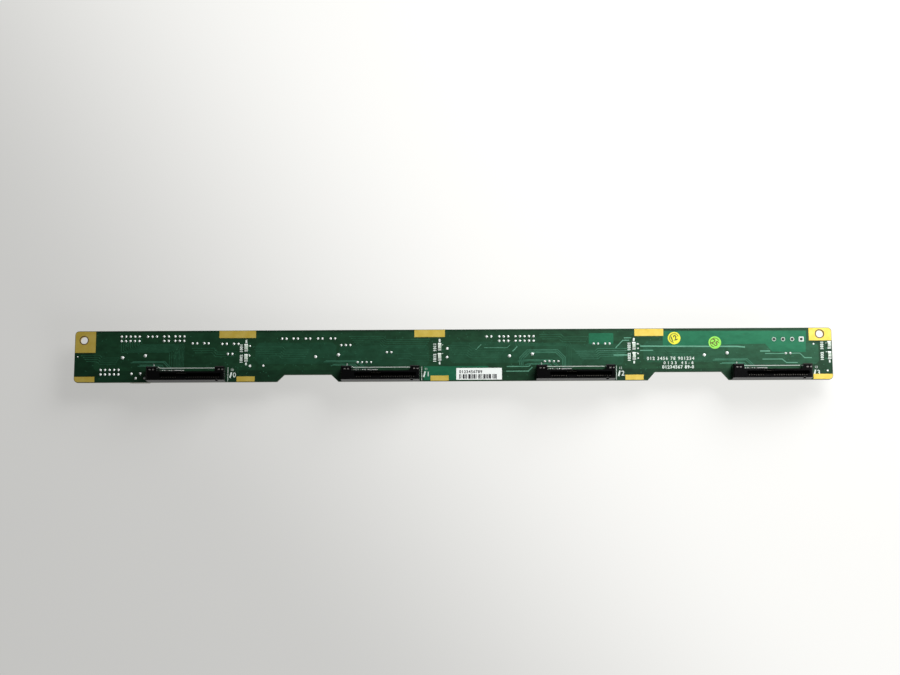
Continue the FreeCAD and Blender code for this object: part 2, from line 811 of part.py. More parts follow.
def power_inlet_pins():
    """Round mating pins that stand on the shell's floor."""
    pins = []
    for way in range(count("power_pin_count")):
        pins.append(rod("PowerPin", power_pin_x(way), "power_inlet_y",
                        "capacitor_height - power_shell_height + power_pin_drop",
                        "power_pin_radius", "power_cavity_depth - power_pin_drop", "pin_flats"))
    return group("power_inlet_pins", pins)


# ---------------------------------------------------------------- rows of rear parts
def part_width(kind):
    """How much of a row a part takes up."""
    return "can_width" if kind == "can" else f"{HEADER_PINS[kind][0]} * pin_pitch"


def rear_parts():
    """Each part of the rear rows as kind, left edge and y."""
    for row, (start, parts) in enumerate(REAR_ROWS):
        left = start
        for step, (kind, gap, y) in enumerate(parts):
            left = f"({left} - row_{row}_gap_{step} - {part_width(kind)})"
            yield kind, left, y


REAR_PARTS = list(rear_parts())
HEADERS = [part for part in REAR_PARTS if part[0] != "can"]
CANS = [(f"{left} + capacitor_radius", y) for kind, left, y in REAR_PARTS if kind == "can"]
# one can nests below the first two, and one stands beside the power inlet
NEST_STEP = "(can_width + row_0_gap_1) * sqrt(3) / 2"
CANS.append((f"({CANS[0][0]} + {CANS[1][0]}) / 2", f"{CANS[0][1]} - {NEST_STEP}"))
CANS.append(("power_inlet_x", BESIDE_POWER_INLET))


def pin_places(kind, left, y):
    """Places of a header's pins, row by row."""
    columns, rows = HEADER_PINS[kind]
    for row in range(rows):
        for column in range(columns):
            yield f"{left} + ({column} + 0.5) * pin_pitch", f"{y} - {row} * pin_pitch"


def pin_header(kind, left, y):
    """Plain header: a base block on the board's underside, with its pins on the block's face."""
    rows = HEADER_PINS[kind][1]
    return block("HeaderBase", left, f"{y} - ({rows} - 0.5) * pin_pitch",
                 "capacitor_height - pin_base_height",
                 part_width(kind), f"{rows} * pin_pitch", "pin_base_height")


def locking_header(kind, left, y):
    """Header with a tall locking wall beside its single row of pins."""
    body = new_body("LockingBase")
    plan = new_sketch(body, "Plan")
    rectangle(plan, "0", "-locking_base_depth / 2", part_width(kind), "locking_base_depth / 2")
    pad(body, plan, "locking_base_height", "Base")
    wall = new_sketch(body, "Wall", lift="locking_base_height")
    rectangle(wall, "locking_wall_inset", "locking_base_depth / 2 - locking_wall_thickness",
              f"{part_width(kind)} - locking_wall_inset", "locking_base_depth / 2")
    pad(body, wall, "locking_wall_height - locking_base_height", "Wall")
    place_on_rear(body, left, y)
    return body


def rear_headers():
    """Every header base, one node for each kind, and the pins of them all."""
    pins = []
    for kind in HEADER_PINS:
        bases = []
        for part in HEADERS:
            if part[0] != kind:
                continue
            locking = kind.startswith("locking")
            bases.append((locking_header if locking else pin_header)(*part))
            face = "locking_base_height" if locking else "pin_base_height"
            for x, y in pin_places(*part):
                pins.append(block("Pin", f"{x} - pin_width / 2", f"{y} - pin_width / 2",
                                  f"capacitor_height - {face} - pin_reach",
                                  "pin_width", "pin_width", "pin_reach"))
        group(kind, bases)
    group("header_pins", pins)


def staggered_places():
    """Places of the zigzag header's pins."""
    for way in range(count("staggered_count")):
        x = f"{STAGGERED_LEFT} + staggered_end + {way} * staggered_pitch"
        yield x, f"staggered_y - {way % 2} * staggered_pitch"


def staggered_header():
    """Shrouded header whose pins stand in a zigzag on the cavity's floor."""
    body = new_body("staggered_header")
    for name, wall in (("Plan", "0"), ("Cavity", "staggered_wall")):
        cut = name == "Cavity"
        sketch = new_sketch(body, name, lift="staggered_height" if cut else None)
        rectangle(sketch, f"{wall} - staggered_length / 2", f"{wall} - staggered_width / 2",
                  f"staggered_length / 2 - {wall}", f"staggered_width / 2 - {wall}")
        if cut:
            pocket(body, sketch, "staggered_height - staggered_floor", "CavityCut")
        else:
            pad(body, sketch, "staggered_height", "Shell")
    place_on_rear(body, f"{STAGGERED_LEFT} + staggered_length / 2", "staggered_y - staggered_pitch / 2")
    pins = []
    length = "(staggered_height - staggered_floor - pin_width)"
    for x, y in staggered_places():
        pins.append(block("StaggeredPin", f"{x} - pin_width / 2", f"{y} - pin_width / 2",
                          f"capacitor_height - staggered_floor - {length}", "pin_width", "pin_width", length))
    group("staggered_header_pins", pins)
    return sub_part(body, "staggered_header")


def capacitors():
    """Radial cans that stand on the board's underside; the board rests on them."""
    return group("capacitors", [
        rod("Can", x, y, "0", "capacitor_radius", "capacitor_height", "can_flats") for x, y in CANS
    ])


# ---------------------------------------------------------------- solder joints
def joint_places():
    """Each joint on the drive side: x, y, radius, and whether its pad is square."""
    for part in HEADERS:
        places = list(pin_places(*part))
        for i, (x, y) in enumerate(places):
            square = part[0].startswith("locking") and i == len(places) - 1
            yield x, y, "joint_radius", square
    for x, y in staggered_places():
        yield x, y, "joint_radius", False
    for x, y in CANS:
        for side in ("-", "+"):
            yield f"{x} {side} capacitor_lead_pitch / 2", y, "joint_radius", False
    for bay in range(count("bay_count")):
        for side in ("-", "+"):
            x = f"{bay_x(bay)} + data_header_offset {side} peg_spacing / 2"
            yield x, f"{side}peg_offset / 2", "peg_joint_radius", False
    power_ways = count("power_pin_count")
    for way in range(power_ways):
        yield power_pin_x(way), "power_inlet_y", "power_joint_radius", way == power_ways - 1


def frustum(x, y, radius, turn):
    """A low four-sided cone of solder: the joint's radius is half the width of its foot."""
    item = document.addObject("Part::Wedge", "Frustum")
    crown = f"{radius} * joint_crown"
    bind(item, Xmin=f"-{radius}", Xmax=radius, Zmin=f"-{radius}", Zmax=radius, Ymin="0", Ymax="joint_height",
         X2min=f"-{crown}", X2max=crown, Z2min=f"-{crown}", Z2max=crown)
    item.Placement = Placement(Vector(), Rotation(Vector(0, 0, 1), turn) * STAND_UP)
    return bind(item, x=x, y=y, z="board_top")


def joint(x, y, radius, square):
    """One joint: eight-sided on a round pad, four-sided on a square pad."""
    upright = frustum(x, y, radius, 0)
    if square:
        return upright
    both = document.addObject("Part::Common", "Joint")
    both.Base = upright
    both.Tool = frustum(x, y, radius, 45)
    return both


def solder_joints():
    """Low cones of solder, one over each pin, lead and peg."""
    return group("solder_joints", [joint(*place) for place in joint_places()])


# ---------------------------------------------------------------- label and stickers
def barcode_label():
    return sub_part(
        block("barcode_label", f"{lamp_x(1)} + label_from_lamps", "near_y + label_rise - label_width / 2",
              "board_top", "label_length", "label_width", "label_thickness"),
        "barcode_label")


def round_sticker(label, x, y):
    disc = rod(label, x, y, "board_top", "sticker_radius", "label_thickness", "sticker_flats")
    return sub_part(disc, label)


def stickers():
    """One sticker to the right of the last long land, and one left of the last connector."""
    last = len(LONG_LANDS) - 1
    land_end = f"{lamp_x(last)} + land_{last}_shift + land_{last}_length / 2"
    round_sticker("yellow_sticker", f"{land_end} + yellow_gap + sticker_radius", "far_y - yellow_drop")
    last_bay = count("bay_count") - 1
    round_sticker("green_sticker", f"{bay_x(last_bay)} + connector_left - green_from_connector",
                  "far_y - green_drop")


# ---------------------------------------------------------------- assembly
circuit_board()
edge_lands()
for bay in range(count("bay_count")):
    drive_connector(bay)
    connector_contacts(bay)
    connector_tails(bay)
    board_locks(bay)
    status_lamp(f"activity_lamp_{bay}", bay, "lamp_upper_y")
    status_lamp(f"fault_lamp_{bay}", bay, "lamp_lower_y")
    data_header(bay)
    data_contacts(bay)
lamp_solder()
power_inlet()
power_inlet_pins()
rear_headers()
staggered_header()
capacitors()
solder_joints()
barcode_label()
stickers()
document.recompute()

# ---------------------------------------------------------------- checks and export
for item in document.Objects:
    if "Invalid" in item.State or "Error" in item.State:
        raise ValueError(f"{item.Label}: {item.State}")
os.makedirs("parts", exist_ok=True)
for item in SUB_PARTS:
    shape = item.Shape
    if shape.isNull() or not shape.isValid() or not shape.Solids:
        raise ValueError(f"{item.Label}: no valid solid")
    shape.exportStep(os.path.join("parts", f"{item.Label}.step"))
    print(f"{item.Label}: {len(shape.Solids)} solids, {shape.Volume:.1f} mm3")
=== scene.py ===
# %% [markdown]
# # Drive backplane board
# A long green circuit board lies on a pale bench with its drive side up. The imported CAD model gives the
# shape of every rigid piece. This notebook gives each piece its finish, draws the copper, print and solder
# that the CAD model leaves out, and lights the bench.

# %% Load the fixed frame
import json
import math

import bpy
import numpy as np
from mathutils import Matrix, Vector


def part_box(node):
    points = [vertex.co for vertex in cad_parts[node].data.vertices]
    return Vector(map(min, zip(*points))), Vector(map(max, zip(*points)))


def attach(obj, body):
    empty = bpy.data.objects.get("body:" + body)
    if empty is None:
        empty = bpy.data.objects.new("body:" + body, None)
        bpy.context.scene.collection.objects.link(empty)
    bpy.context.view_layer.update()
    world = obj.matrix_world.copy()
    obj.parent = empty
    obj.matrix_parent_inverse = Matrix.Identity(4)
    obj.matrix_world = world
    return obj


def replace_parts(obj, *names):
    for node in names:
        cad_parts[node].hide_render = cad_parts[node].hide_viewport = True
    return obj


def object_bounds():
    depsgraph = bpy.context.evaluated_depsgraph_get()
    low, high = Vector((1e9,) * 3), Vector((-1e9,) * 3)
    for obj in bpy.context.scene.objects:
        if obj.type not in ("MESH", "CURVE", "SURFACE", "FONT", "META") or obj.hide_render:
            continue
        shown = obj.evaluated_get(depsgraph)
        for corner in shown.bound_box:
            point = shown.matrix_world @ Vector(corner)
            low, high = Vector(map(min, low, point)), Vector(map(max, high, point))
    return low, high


with open("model.json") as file:
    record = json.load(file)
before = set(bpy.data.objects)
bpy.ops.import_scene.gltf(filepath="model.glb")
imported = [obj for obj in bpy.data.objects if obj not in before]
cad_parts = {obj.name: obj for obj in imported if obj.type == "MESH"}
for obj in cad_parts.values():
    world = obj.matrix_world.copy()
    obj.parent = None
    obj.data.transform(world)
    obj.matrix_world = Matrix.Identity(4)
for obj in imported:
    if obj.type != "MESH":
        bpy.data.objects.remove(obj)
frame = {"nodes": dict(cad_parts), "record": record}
cad_low, cad_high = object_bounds()
print("nodes in the frame:", len(frame["nodes"]))

# %% [markdown]
# ## Where things are
# Positions come from the boxes of the CAD nodes, so a change of size in the CAD model moves the detail with it.
# The board's own frame has its origin at the middle of the outline: x runs along the board and y across it.
# Lengths here are in millimetres and are turned into metres when a mesh is made.

# %% Read the places of the main parts
MM = 0.001
BOARD_LOW, BOARD_HIGH = (np.array(corner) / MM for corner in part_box("circuit_board"))
BOARD_UNDER, BOARD_TOP = BOARD_LOW[2], BOARD_HIGH[2]
NEAR_Y, FAR_Y = BOARD_LOW[1], BOARD_HIGH[1]
BAYS = sum(name.startswith("drive_connector_") for name in frame["nodes"])
LAST = BAYS - 1
print("board from", BOARD_LOW.round(2), "to", BOARD_HIGH.round(2), "with", BAYS, "bays")


def place(node):
    """Lowest and highest corners of a CAD node, in millimetres."""
    low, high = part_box(node)
    return np.array(low) / MM, np.array(high) / MM


def middle(node):
    """The centre of a node's box, in millimetres."""
    low, high = place(node)
    return (low + high) / 2


# %% [markdown]
# Several like pieces share one node, such as all the solder joints. `islands` finds the separate solids in
# such a node: it joins equal corners, then passes the smallest label along every edge until no label changes.

# %% Find the separate solids of a node
def islands(node):
    """Lowest and highest corners of each separate solid in a node, in millimetres, as two arrays."""
    mesh = frame["nodes"][node].data
    points = np.empty(len(mesh.vertices) * 3)
    mesh.vertices.foreach_get("co", points)
    corners, merged = np.unique(points.reshape(-1, 3).round(7), axis=0, return_inverse=True)
    edges = np.empty(len(mesh.edges) * 2, dtype=np.int64)
    mesh.edges.foreach_get("vertices", edges)
    start, end = merged.reshape(-1)[edges].reshape(-1, 2).T
    labels = np.arange(len(corners))
    while True:
        smallest = np.minimum(labels[start], labels[end])
        passed = labels.copy()
        np.minimum.at(passed, start, smallest)
        np.minimum.at(passed, end, smallest)
        if np.array_equal(passed, labels):
            break
        labels = passed
    solids, group = np.unique(labels, return_inverse=True)
    low = np.full((len(solids), 3), np.inf)
    high = np.full((len(solids), 3), -np.inf)
    np.minimum.at(low, group.reshape(-1), corners)
    np.maximum.at(high, group.reshape(-1), corners)
    return low / MM, high / MM


def inside(points, low, high, margin=0.0):
    """Which points lie over a box, seen from above, with a margin all round."""
    over = points[:, :2] > np.asarray(low)[:2] - margin
    under = points[:, :2] < np.asarray(high)[:2] + margin
    return (over & under).all(axis=1)


def all_islands(names):
    """The separate solids of several nodes, as a list of corner pairs."""
    return [corners for name in names for corners in zip(*islands(name))]


JOINT_LOW, JOINT_HIGH = islands("solder_joints")
JOINTS = (JOINT_LOW + JOINT_HIGH) / 2
CAN_LOW, CAN_HIGH = islands("capacitors")
CONNECTOR_X = np.array([middle(f"drive_connector_{bay}")[0] for bay in range(BAYS)])
LAMP_X = np.array([middle(f"activity_lamp_{bay}")[0] for bay in range(BAYS)])
HEADER_KINDS = ("two_by_five", "two_by_three", "two_by_two", "one_by_two")
HEADER_BASES = all_islands(f"pin_header_{kind}" for kind in HEADER_KINDS)
HEADER_BASES += all_islands(f"locking_header_{kind}_way" for kind in ("three", "four"))
print("solder joints:", len(JOINTS), "capacitors:", len(CAN_LOW), "headers:", len(HEADER_BASES))

# %% [markdown]
# ## Mesh makers
# Every new piece is made from whole arrays of points, which is quicker than adding points one by one, and the
# formula stays in sight. `turned` sweeps a profile round a vertical axis for each of many centres at once.
# `strip` carries a low trapezium along a route, which suits copper tracks and printed lines. `flat_area` raises
# an outline a little above the board, which suits wide copper. Modifiers could do the same, but a shape given by
# a formula can follow the CAD places directly.
#
# `grid_faces` numbers the quads of every such grid, and `joined` puts many parts into one piece.

# %% Make a piece from arrays
POLE = 1e-3  # the radius, in millimetres, at which a turned profile closes on its axis


def new_piece(name, points, faces, material, slot, smooth=False):
    """A finished object from points in millimetres and faces, riding on the board."""
    mesh = bpy.data.meshes.new(name)
    mesh.from_pydata((np.asarray(points) * MM).tolist(), [], [list(face) for face in faces])
    mesh.polygons.foreach_set("use_smooth", np.full(len(mesh.polygons), smooth))
    mesh.update()
    piece = bpy.data.objects.new(name, mesh)
    bpy.context.scene.collection.objects.link(piece)
    mesh.materials.append(material)
    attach(piece, "root")
    print(f"{name}: {len(mesh.polygons)} faces")
    return piece


def grid_faces(rows, columns, closed):
    """Quads between neighbouring points of a rows x columns grid; closed joins the last column to the first."""
    across = columns if closed else columns - 1
    row, column = np.mgrid[0:rows - 1, 0:across]
    right = (column + 1) % columns
    corners = [row * columns + column, row * columns + right,
               (row + 1) * columns + right, (row + 1) * columns + column]
    return np.stack(corners, axis=-1).reshape(-1, 4)


def joined(parts):
    """One set of points and faces from many."""
    points, faces, count = [], [], 0
    for some_points, some_faces in parts:
        points.append(some_points)
        for face in np.asarray(some_faces, dtype=object).tolist():
            faces.append([index + count for index in face])
        count += len(some_points)
    return np.vstack(points), faces


# %% Turn a profile about many centres
def turned(centres, radii, heights, around, phase=0.0):
    """Points and quads of a profile turned about z at each centre.

    Point (i, j) of a piece is centre + (r_i cos a_j, r_i sin a_j, h_i), with a_j = phase + 2 pi j / around.
    radii and heights are one profile for all pieces or one row for each.
    """
    centres = np.atleast_2d(centres)
    radii = np.broadcast_to(radii, (len(centres), np.shape(radii)[-1]))
    heights = np.broadcast_to(heights, radii.shape)
    angle = phase + np.linspace(0, 2 * math.pi, around, endpoint=False)
    x = centres[:, 0, None, None] + radii[:, :, None] * np.cos(angle)
    y = centres[:, 1, None, None] + radii[:, :, None] * np.sin(angle)
    z = centres[:, 2, None, None] + np.repeat(heights[:, :, None], around, axis=2)
    points = np.stack([x, y, z], axis=-1).reshape(-1, 3)
    quads = grid_faces(radii.shape[1], around, True)
    step = np.arange(len(centres))[:, None, None] * radii.shape[1] * around
    return points, (quads[None] + step).reshape(-1, 4)


print("two cones of 2 rows and 8 steps:", len(turned([(0, 0, 0), (9, 0, 0)], [1, 0.1], [0, 2], 8)[1]), "quads")


# %% Strips and areas on the board
def strip(route, width, height, under=False):
    """A raised strip along a route with mitred bends, on the drive side or under the board.

    Its section is a trapezium with 45 degree sides. At a bend with run normal m and mean normal n, a point
    d off the route moves by n d / (n . m), so that both runs keep their width.
    """
    route = np.asarray(route, dtype=float)
    runs = np.diff(route, axis=0)
    normals = np.stack([-runs[:, 1], runs[:, 0]], axis=1) / np.linalg.norm(runs, axis=1)[:, None]
    before = np.vstack([normals[:1], normals])
    after = np.vstack([normals, normals[-1:]])
    mean = before + after
    mean /= np.linalg.norm(mean, axis=1)[:, None]
    miter = mean / (mean * before).sum(axis=1)[:, None]
    across = np.array([-width / 2 - height, -width / 2, width / 2, width / 2 + height])
    flat = route[:, None, :] + miter[:, None, :] * across[None, :, None]
    rise = np.tile([0.0, height, height, 0.0], (len(route), 1))
    level = BOARD_UNDER - rise if under else BOARD_TOP + rise
    points = np.concatenate([flat, level[:, :, None]], axis=2).reshape(-1, 3)
    last = 4 * (len(route) - 1)
    caps = np.array([[0, 1, 2, 3], [last + 3, last + 2, last + 1, last]])
    faces = np.vstack([grid_faces(len(route), 4, False)[:, ::-1], caps])
    return points, faces[:, ::-1] if under else faces


def flat_area(outline, height, under=False):
    """A closed outline, counter-clockwise from above, raised to a height with upright sides."""
    outline = np.asarray(outline, dtype=float)
    count = len(outline)
    levels = [BOARD_UNDER, BOARD_UNDER - height] if under else [BOARD_TOP, BOARD_TOP + height]
    points = np.vstack([np.column_stack([outline, np.full(count, level)]) for level in levels])
    sides = grid_faces(2, count, True).tolist()
    faces = sides + [list(range(count, 2 * count))]
    return points, [face[::-1] for face in faces] if under else faces


def box_outline(low_x, low_y, high_x, high_y, cut=0.0):
    """A rectangle, counter-clockwise, with its corners cut off at 45 degrees."""
    corners = np.array([(low_x, low_y), (high_x, low_y), (high_x, high_y), (low_x, high_y)], dtype=float)
    if cut == 0:
        return corners
    along = np.roll(corners, -1, axis=0) - corners
    along /= np.linalg.norm(along, axis=1)[:, None]
    back = np.roll(along, 1, axis=0)
    return np.stack([corners - back * cut, corners + along * cut], axis=1).reshape(-1, 2)


def frame_strip(low_x, low_y, high_x, high_y, width, height, under=False):
    """Four strips round a rectangle."""
    corners = box_outline(low_x, low_y, high_x, high_y)
    return [strip(run, width, height, under) for run in zip(corners, np.roll(corners, -1, axis=0))]


def ring(centres, inner, outer, height, around=16, under=False):
    """Flat raised rings, such as vias and printed circles: a low trapezium, turned about each centre."""
    rise = np.array([0.0, height, height, 0.0])
    radii = np.array([outer + height, outer, inner, max(inner - height, POLE)])
    level = BOARD_UNDER if under else BOARD_TOP
    centres = np.column_stack([np.atleast_2d(centres)[:, :2], np.full(len(np.atleast_2d(centres)), level)])
    points, faces = turned(centres, radii, -rise if under else rise, around)
    return points, faces[:, ::-1] if under else faces


print("a bent strip:", len(strip([(0, 0), (5, 0), (9, 4)], 0.3, 0.05)[1]), "faces; a ring:",
      len(ring((0, 0), 0.2, 0.4, 0.05)[1]), "faces")


# %% [markdown]
# ## Finishes
# Each finish is one small node tree around a Principled shader. Single values sit on the shader's own
# sockets, because a linked one is lost when the model is exported. Where a surface varies, a noise in Object
# coordinates drives it: it needs no picture file, and the pattern stays with the object.

# %% Material helpers
def finish(name, color, roughness, metallic=0.0, **sockets):
    """A Principled material with plain values; other sockets are named with underscores for spaces."""
    material = bpy.data.materials.new(name)
    material.use_nodes = True
    shader = material.node_tree.nodes["Principled BSDF"]
    shader.inputs["Base Color"].default_value = (*color, 1.0)
    shader.inputs["Roughness"].default_value = roughness
    shader.inputs["Metallic"].default_value = metallic
    for socket, value in sockets.items():
        shader.inputs[socket.replace("_", " ")].default_value = value
    material.diffuse_color = (*color, 1.0)
    return material


def node(material, kind, **values):
    """Add a shader node and set its unlinked inputs by name."""
    made = material.node_tree.nodes.new(kind)
    for socket, value in values.items():
        made.inputs[socket.replace("_", " ")].default_value = value
    return made


def link(material, source, target):
    """Join the output of one shader node to an input of another."""
    material.node_tree.links.new(source, target)


def object_noise(material, scale, detail=3.0, stretch=(1.0, 1.0, 1.0)):
    """A noise value that varies over the object; scale is in waves per metre."""
    place_in = node(material, "ShaderNodeTexCoord")
    mapping = node(material, "ShaderNodeMapping")
    mapping.inputs["Scale"].default_value = stretch
    noise = node(material, "ShaderNodeTexNoise", Scale=scale, Detail=detail)
    link(material, place_in.outputs["Object"], mapping.inputs["Vector"])
    link(material, mapping.outputs["Vector"], noise.inputs["Vector"])
    return noise.outputs["Fac"]


def vary_color(material, value, dark, light, low=0.35, high=0.65):
    """Let a value between low and high run the base colour from dark to light."""
    ramp = node(material, "ShaderNodeValToRGB")
    ramp.color_ramp.elements[0].position = low
    ramp.color_ramp.elements[1].position = high
    ramp.color_ramp.elements[0].color = (*dark, 1.0)
    ramp.color_ramp.elements[1].color = (*light, 1.0)
    link(material, value, ramp.inputs["Fac"])
    link(material, ramp.outputs["Color"], material.node_tree.nodes["Principled BSDF"].inputs["Base Color"])


def roughen(material, value, low, high):
    """Let a value run the roughness from low to high."""
    span = node(material, "ShaderNodeMapRange", To_Min=low, To_Max=high)
    link(material, value, span.inputs["Value"])
    link(material, span.outputs["Result"], material.node_tree.nodes["Principled BSDF"].inputs["Roughness"])


def bump(material, value, depth, strength=0.5):
    """Raise the surface by a value; depth is in metres."""
    relief = node(material, "ShaderNodeBump", Strength=strength, Distance=depth)
    link(material, value, relief.inputs["Height"])
    link(material, relief.outputs["Normal"], material.node_tree.nodes["Principled BSDF"].inputs["Normal"])


def varied(name, color, roughness, metallic=0.0, tone=None, gloss=None, grain=None, **sockets):
    """A finish whose tone, gloss and grain each follow a noise of their own.

    Each starts with the noise's waves per metre and its detail. tone then has the dark and the light colour,
    gloss the lowest and the highest roughness, and grain the depth in metres and the strength.
    """
    material = finish(name, color, roughness, metallic, **sockets)
    for change, values in ((vary_color, tone), (roughen, gloss), (bump, grain)):
        if values:
            scale, detail, first, second = values
            change(material, object_noise(material, scale, detail), first, second)
    return material


# Partly the solder's own pale grey, partly painted shine: a near-white, nearly matt colour stands in for its
# bright reflections.
SOLDER_PAINTED_SHINE = varied("solder_with_painted_shine", (0.90, 0.93, 0.90), 0.36, 0.10, gloss=(2500.0, 2.0, 0.32, 0.48))
print("first finish:", SOLDER_PAINTED_SHINE.name, "with", len(SOLDER_PAINTED_SHINE.node_tree.nodes), "nodes")

# %% [markdown]
# Solder mask is a thin green lacquer. It is dark over bare laminate and brighter over copper, which lends it some
# of its gloss, so one function makes every shade, and each shade belongs to a layer below. The mask isn't
# on the sawn edges: there a step in the Object height shows the laminate.

# %% Solder mask and laminate
def solder_mask(name, dark, light, roughness=0.40):
    """Green mask over laminate or copper: the copper below gives a green-tinted gloss."""
    material = finish(name, dark, roughness, metallic=0.50, Coat_Weight=0.05, Coat_Roughness=0.3)
    cloudy = object_noise(material, scale=420.0, detail=5.0, stretch=(0.55, 1.0, 1.0))
    vary_color(material, cloudy, dark, light)
    roughen(material, object_noise(material, scale=260.0), low=roughness - 0.05, high=roughness + 0.06)
    bump(material, object_noise(material, scale=5200.0, detail=2.0), depth=0.00001, strength=0.25)
    return material


EDGE_MARGIN = 0.03


def laminate_edge(material, color, low, high):
    """Show the bare laminate between two heights, less a margin at each face, on the board's sawn edges."""
    shader = material.node_tree.nodes["Principled BSDF"]
    masked = shader.inputs["Base Color"].links[0].from_socket
    place_in = node(material, "ShaderNodeTexCoord")
    parts = node(material, "ShaderNodeSeparateXYZ")
    share = node(material, "ShaderNodeMapRange", From_Min=low * MM, From_Max=high * MM)
    ramp = node(material, "ShaderNodeValToRGB")
    ramp.color_ramp.interpolation = "CONSTANT"
    ramp.color_ramp.elements[0].color = (0, 0, 0, 1)
    ramp.color_ramp.elements[1].position = EDGE_MARGIN
    ramp.color_ramp.elements[1].color = (1, 1, 1, 1)
    ramp.color_ramp.elements.new(1 - EDGE_MARGIN).color = (0, 0, 0, 1)
    mix = material.node_tree.nodes.new("ShaderNodeMix")
    mix.data_type = "RGBA"
    mix.inputs["B"].default_value = (*color, 1.0)
    link(material, place_in.outputs["Object"], parts.inputs["Vector"])
    link(material, parts.outputs["Z"], share.inputs["Value"])
    link(material, share.outputs["Result"], ramp.inputs["Fac"])
    link(material, ramp.outputs["Color"], mix.inputs["Factor"])
    link(material, masked, mix.inputs["A"])
    link(material, mix.outputs["Result"], shader.inputs["Base Color"])


MASK = solder_mask("solder_mask", (0.005, 0.034, 0.013), (0.008, 0.052, 0.021))
laminate_edge(MASK, (0.055, 0.075, 0.030), BOARD_UNDER, BOARD_TOP)
MASK_GROUND = solder_mask("mask_over_ground", (0.008, 0.051, 0.020), (0.013, 0.075, 0.031))
MASK_PLANE = solder_mask("mask_over_plane", (0.011, 0.070, 0.031), (0.017, 0.097, 0.047))
MASK_COPPER = solder_mask("mask_over_copper", (0.008, 0.135, 0.062), (0.013, 0.166, 0.078))
MASK_TRACE = solder_mask("mask_over_trace", (0.021, 0.115, 0.058), (0.034, 0.155, 0.082), 0.38)
MASK_SIGNAL = solder_mask("mask_over_signals", (0.050, 0.210, 0.125), (0.075, 0.260, 0.160), 0.38)
MASK_BRIGHT = solder_mask("mask_over_feed", (0.110, 0.330, 0.215), (0.150, 0.390, 0.270))
# Painted shade: this dark brown is used only for the ring of shade round the screw holes.
PAINTED_HOLE_SHADE = varied("painted_hole_shade", (0.10, 0.06, 0.02), 0.6,
                  tone=(2500.0, 2.0, (0.08, 0.045, 0.015), (0.13, 0.08, 0.03)))
print("shades of mask:", sum("mask" in material.name for material in bpy.data.materials))

# %% [markdown]
# The metals differ in colour and gloss more than in pattern. Gold plating is a warm metal, and tin and steel are
# grey ones. Solder is a pale grey metal, and its near-white colour here is partly painted shine. The contact
# springs are dark with painted shade for their slots, and one dark metal is painted shade on shaded pin ends,
# tails and grooves.

# %% Metals
GOLD = varied("gold_plating", (0.83, 0.62, 0.11), 0.42, 0.62,
              tone=(240.0, 3.0, (0.79, 0.58, 0.09), (0.87, 0.66, 0.14)), gloss=(1500.0, 3.0, 0.38, 0.48))
TIN = varied("tin_plating", (0.62, 0.61, 0.58), 0.32, 0.9, gloss=(1800.0, 2.0, 0.26, 0.42))
# Painted shade: the gold contacts are made dark grey for the shade deep in the connector slots.
SLOT_SHADED_SPRING = varied("contact_springs_painted_shade", (0.17, 0.16, 0.14), 0.40, 0.85, gloss=(2200.0, 2.0, 0.30, 0.46))
LOCK_METAL = varied("board_lock_steel", (0.20, 0.19, 0.18), 0.45, 0.7, gloss=(2000.0, 2.0, 0.38, 0.55))
# Painted shade: a dark metal for the pin ends in their pads, the formed tails and the score lines, which lie in
# shade.
PAINTED_SHADE_METAL = varied("painted_shade_metal", (0.06, 0.065, 0.06), 0.45, 0.8, gloss=(2200.0, 2.0, 0.38, 0.55))
print("metals:", ", ".join(metal.name for metal in (GOLD, SOLDER_PAINTED_SHINE, TIN, SLOT_SHADED_SPRING, LOCK_METAL, PAINTED_SHADE_METAL)))

# %% [markdown]
# The black moulding is a glossy polymer with a very fine grain, so it gets a low roughness and a weak
# reflection. The lamps are milky resin, which a mottled colour under a thin coat gives without any glass.

# %% Mouldings and lamps
BLACK_PLASTIC = varied("black_moulding", (0.0016, 0.0016, 0.0018), 0.24, Specular_IOR_Level=0.2,
                       gloss=(1500.0, 3.0, 0.18, 0.30), grain=(9000.0, 2.0, 0.00001, 0.2))
NATURAL_PLASTIC = varied("natural_moulding", (0.62, 0.60, 0.52), 0.45, grain=(7000.0, 2.0, 0.00002, 0.3),
                         tone=(500.0, 2.0, (0.58, 0.56, 0.48), (0.66, 0.64, 0.56)))
LAMP = varied("lamp_body", (0.62, 0.72, 0.62), 0.25, Coat_Weight=0.4,
              tone=(1200.0, 1.0, (0.42, 0.54, 0.44), (0.78, 0.84, 0.76)))
print("mouldings:", ", ".join(resin.name for resin in (BLACK_PLASTIC, NATURAL_PLASTIC, LAMP)))

# %% [markdown]
# Print is a thick white ink with a rough face. The label is a smooth film, and the round stickers are paper,
# whose fibres are a finely detailed bump. A capacitor's sleeve is shrunk film with a clear gloss, and its bare
# top is brushed, so its noise is drawn out along one axis.

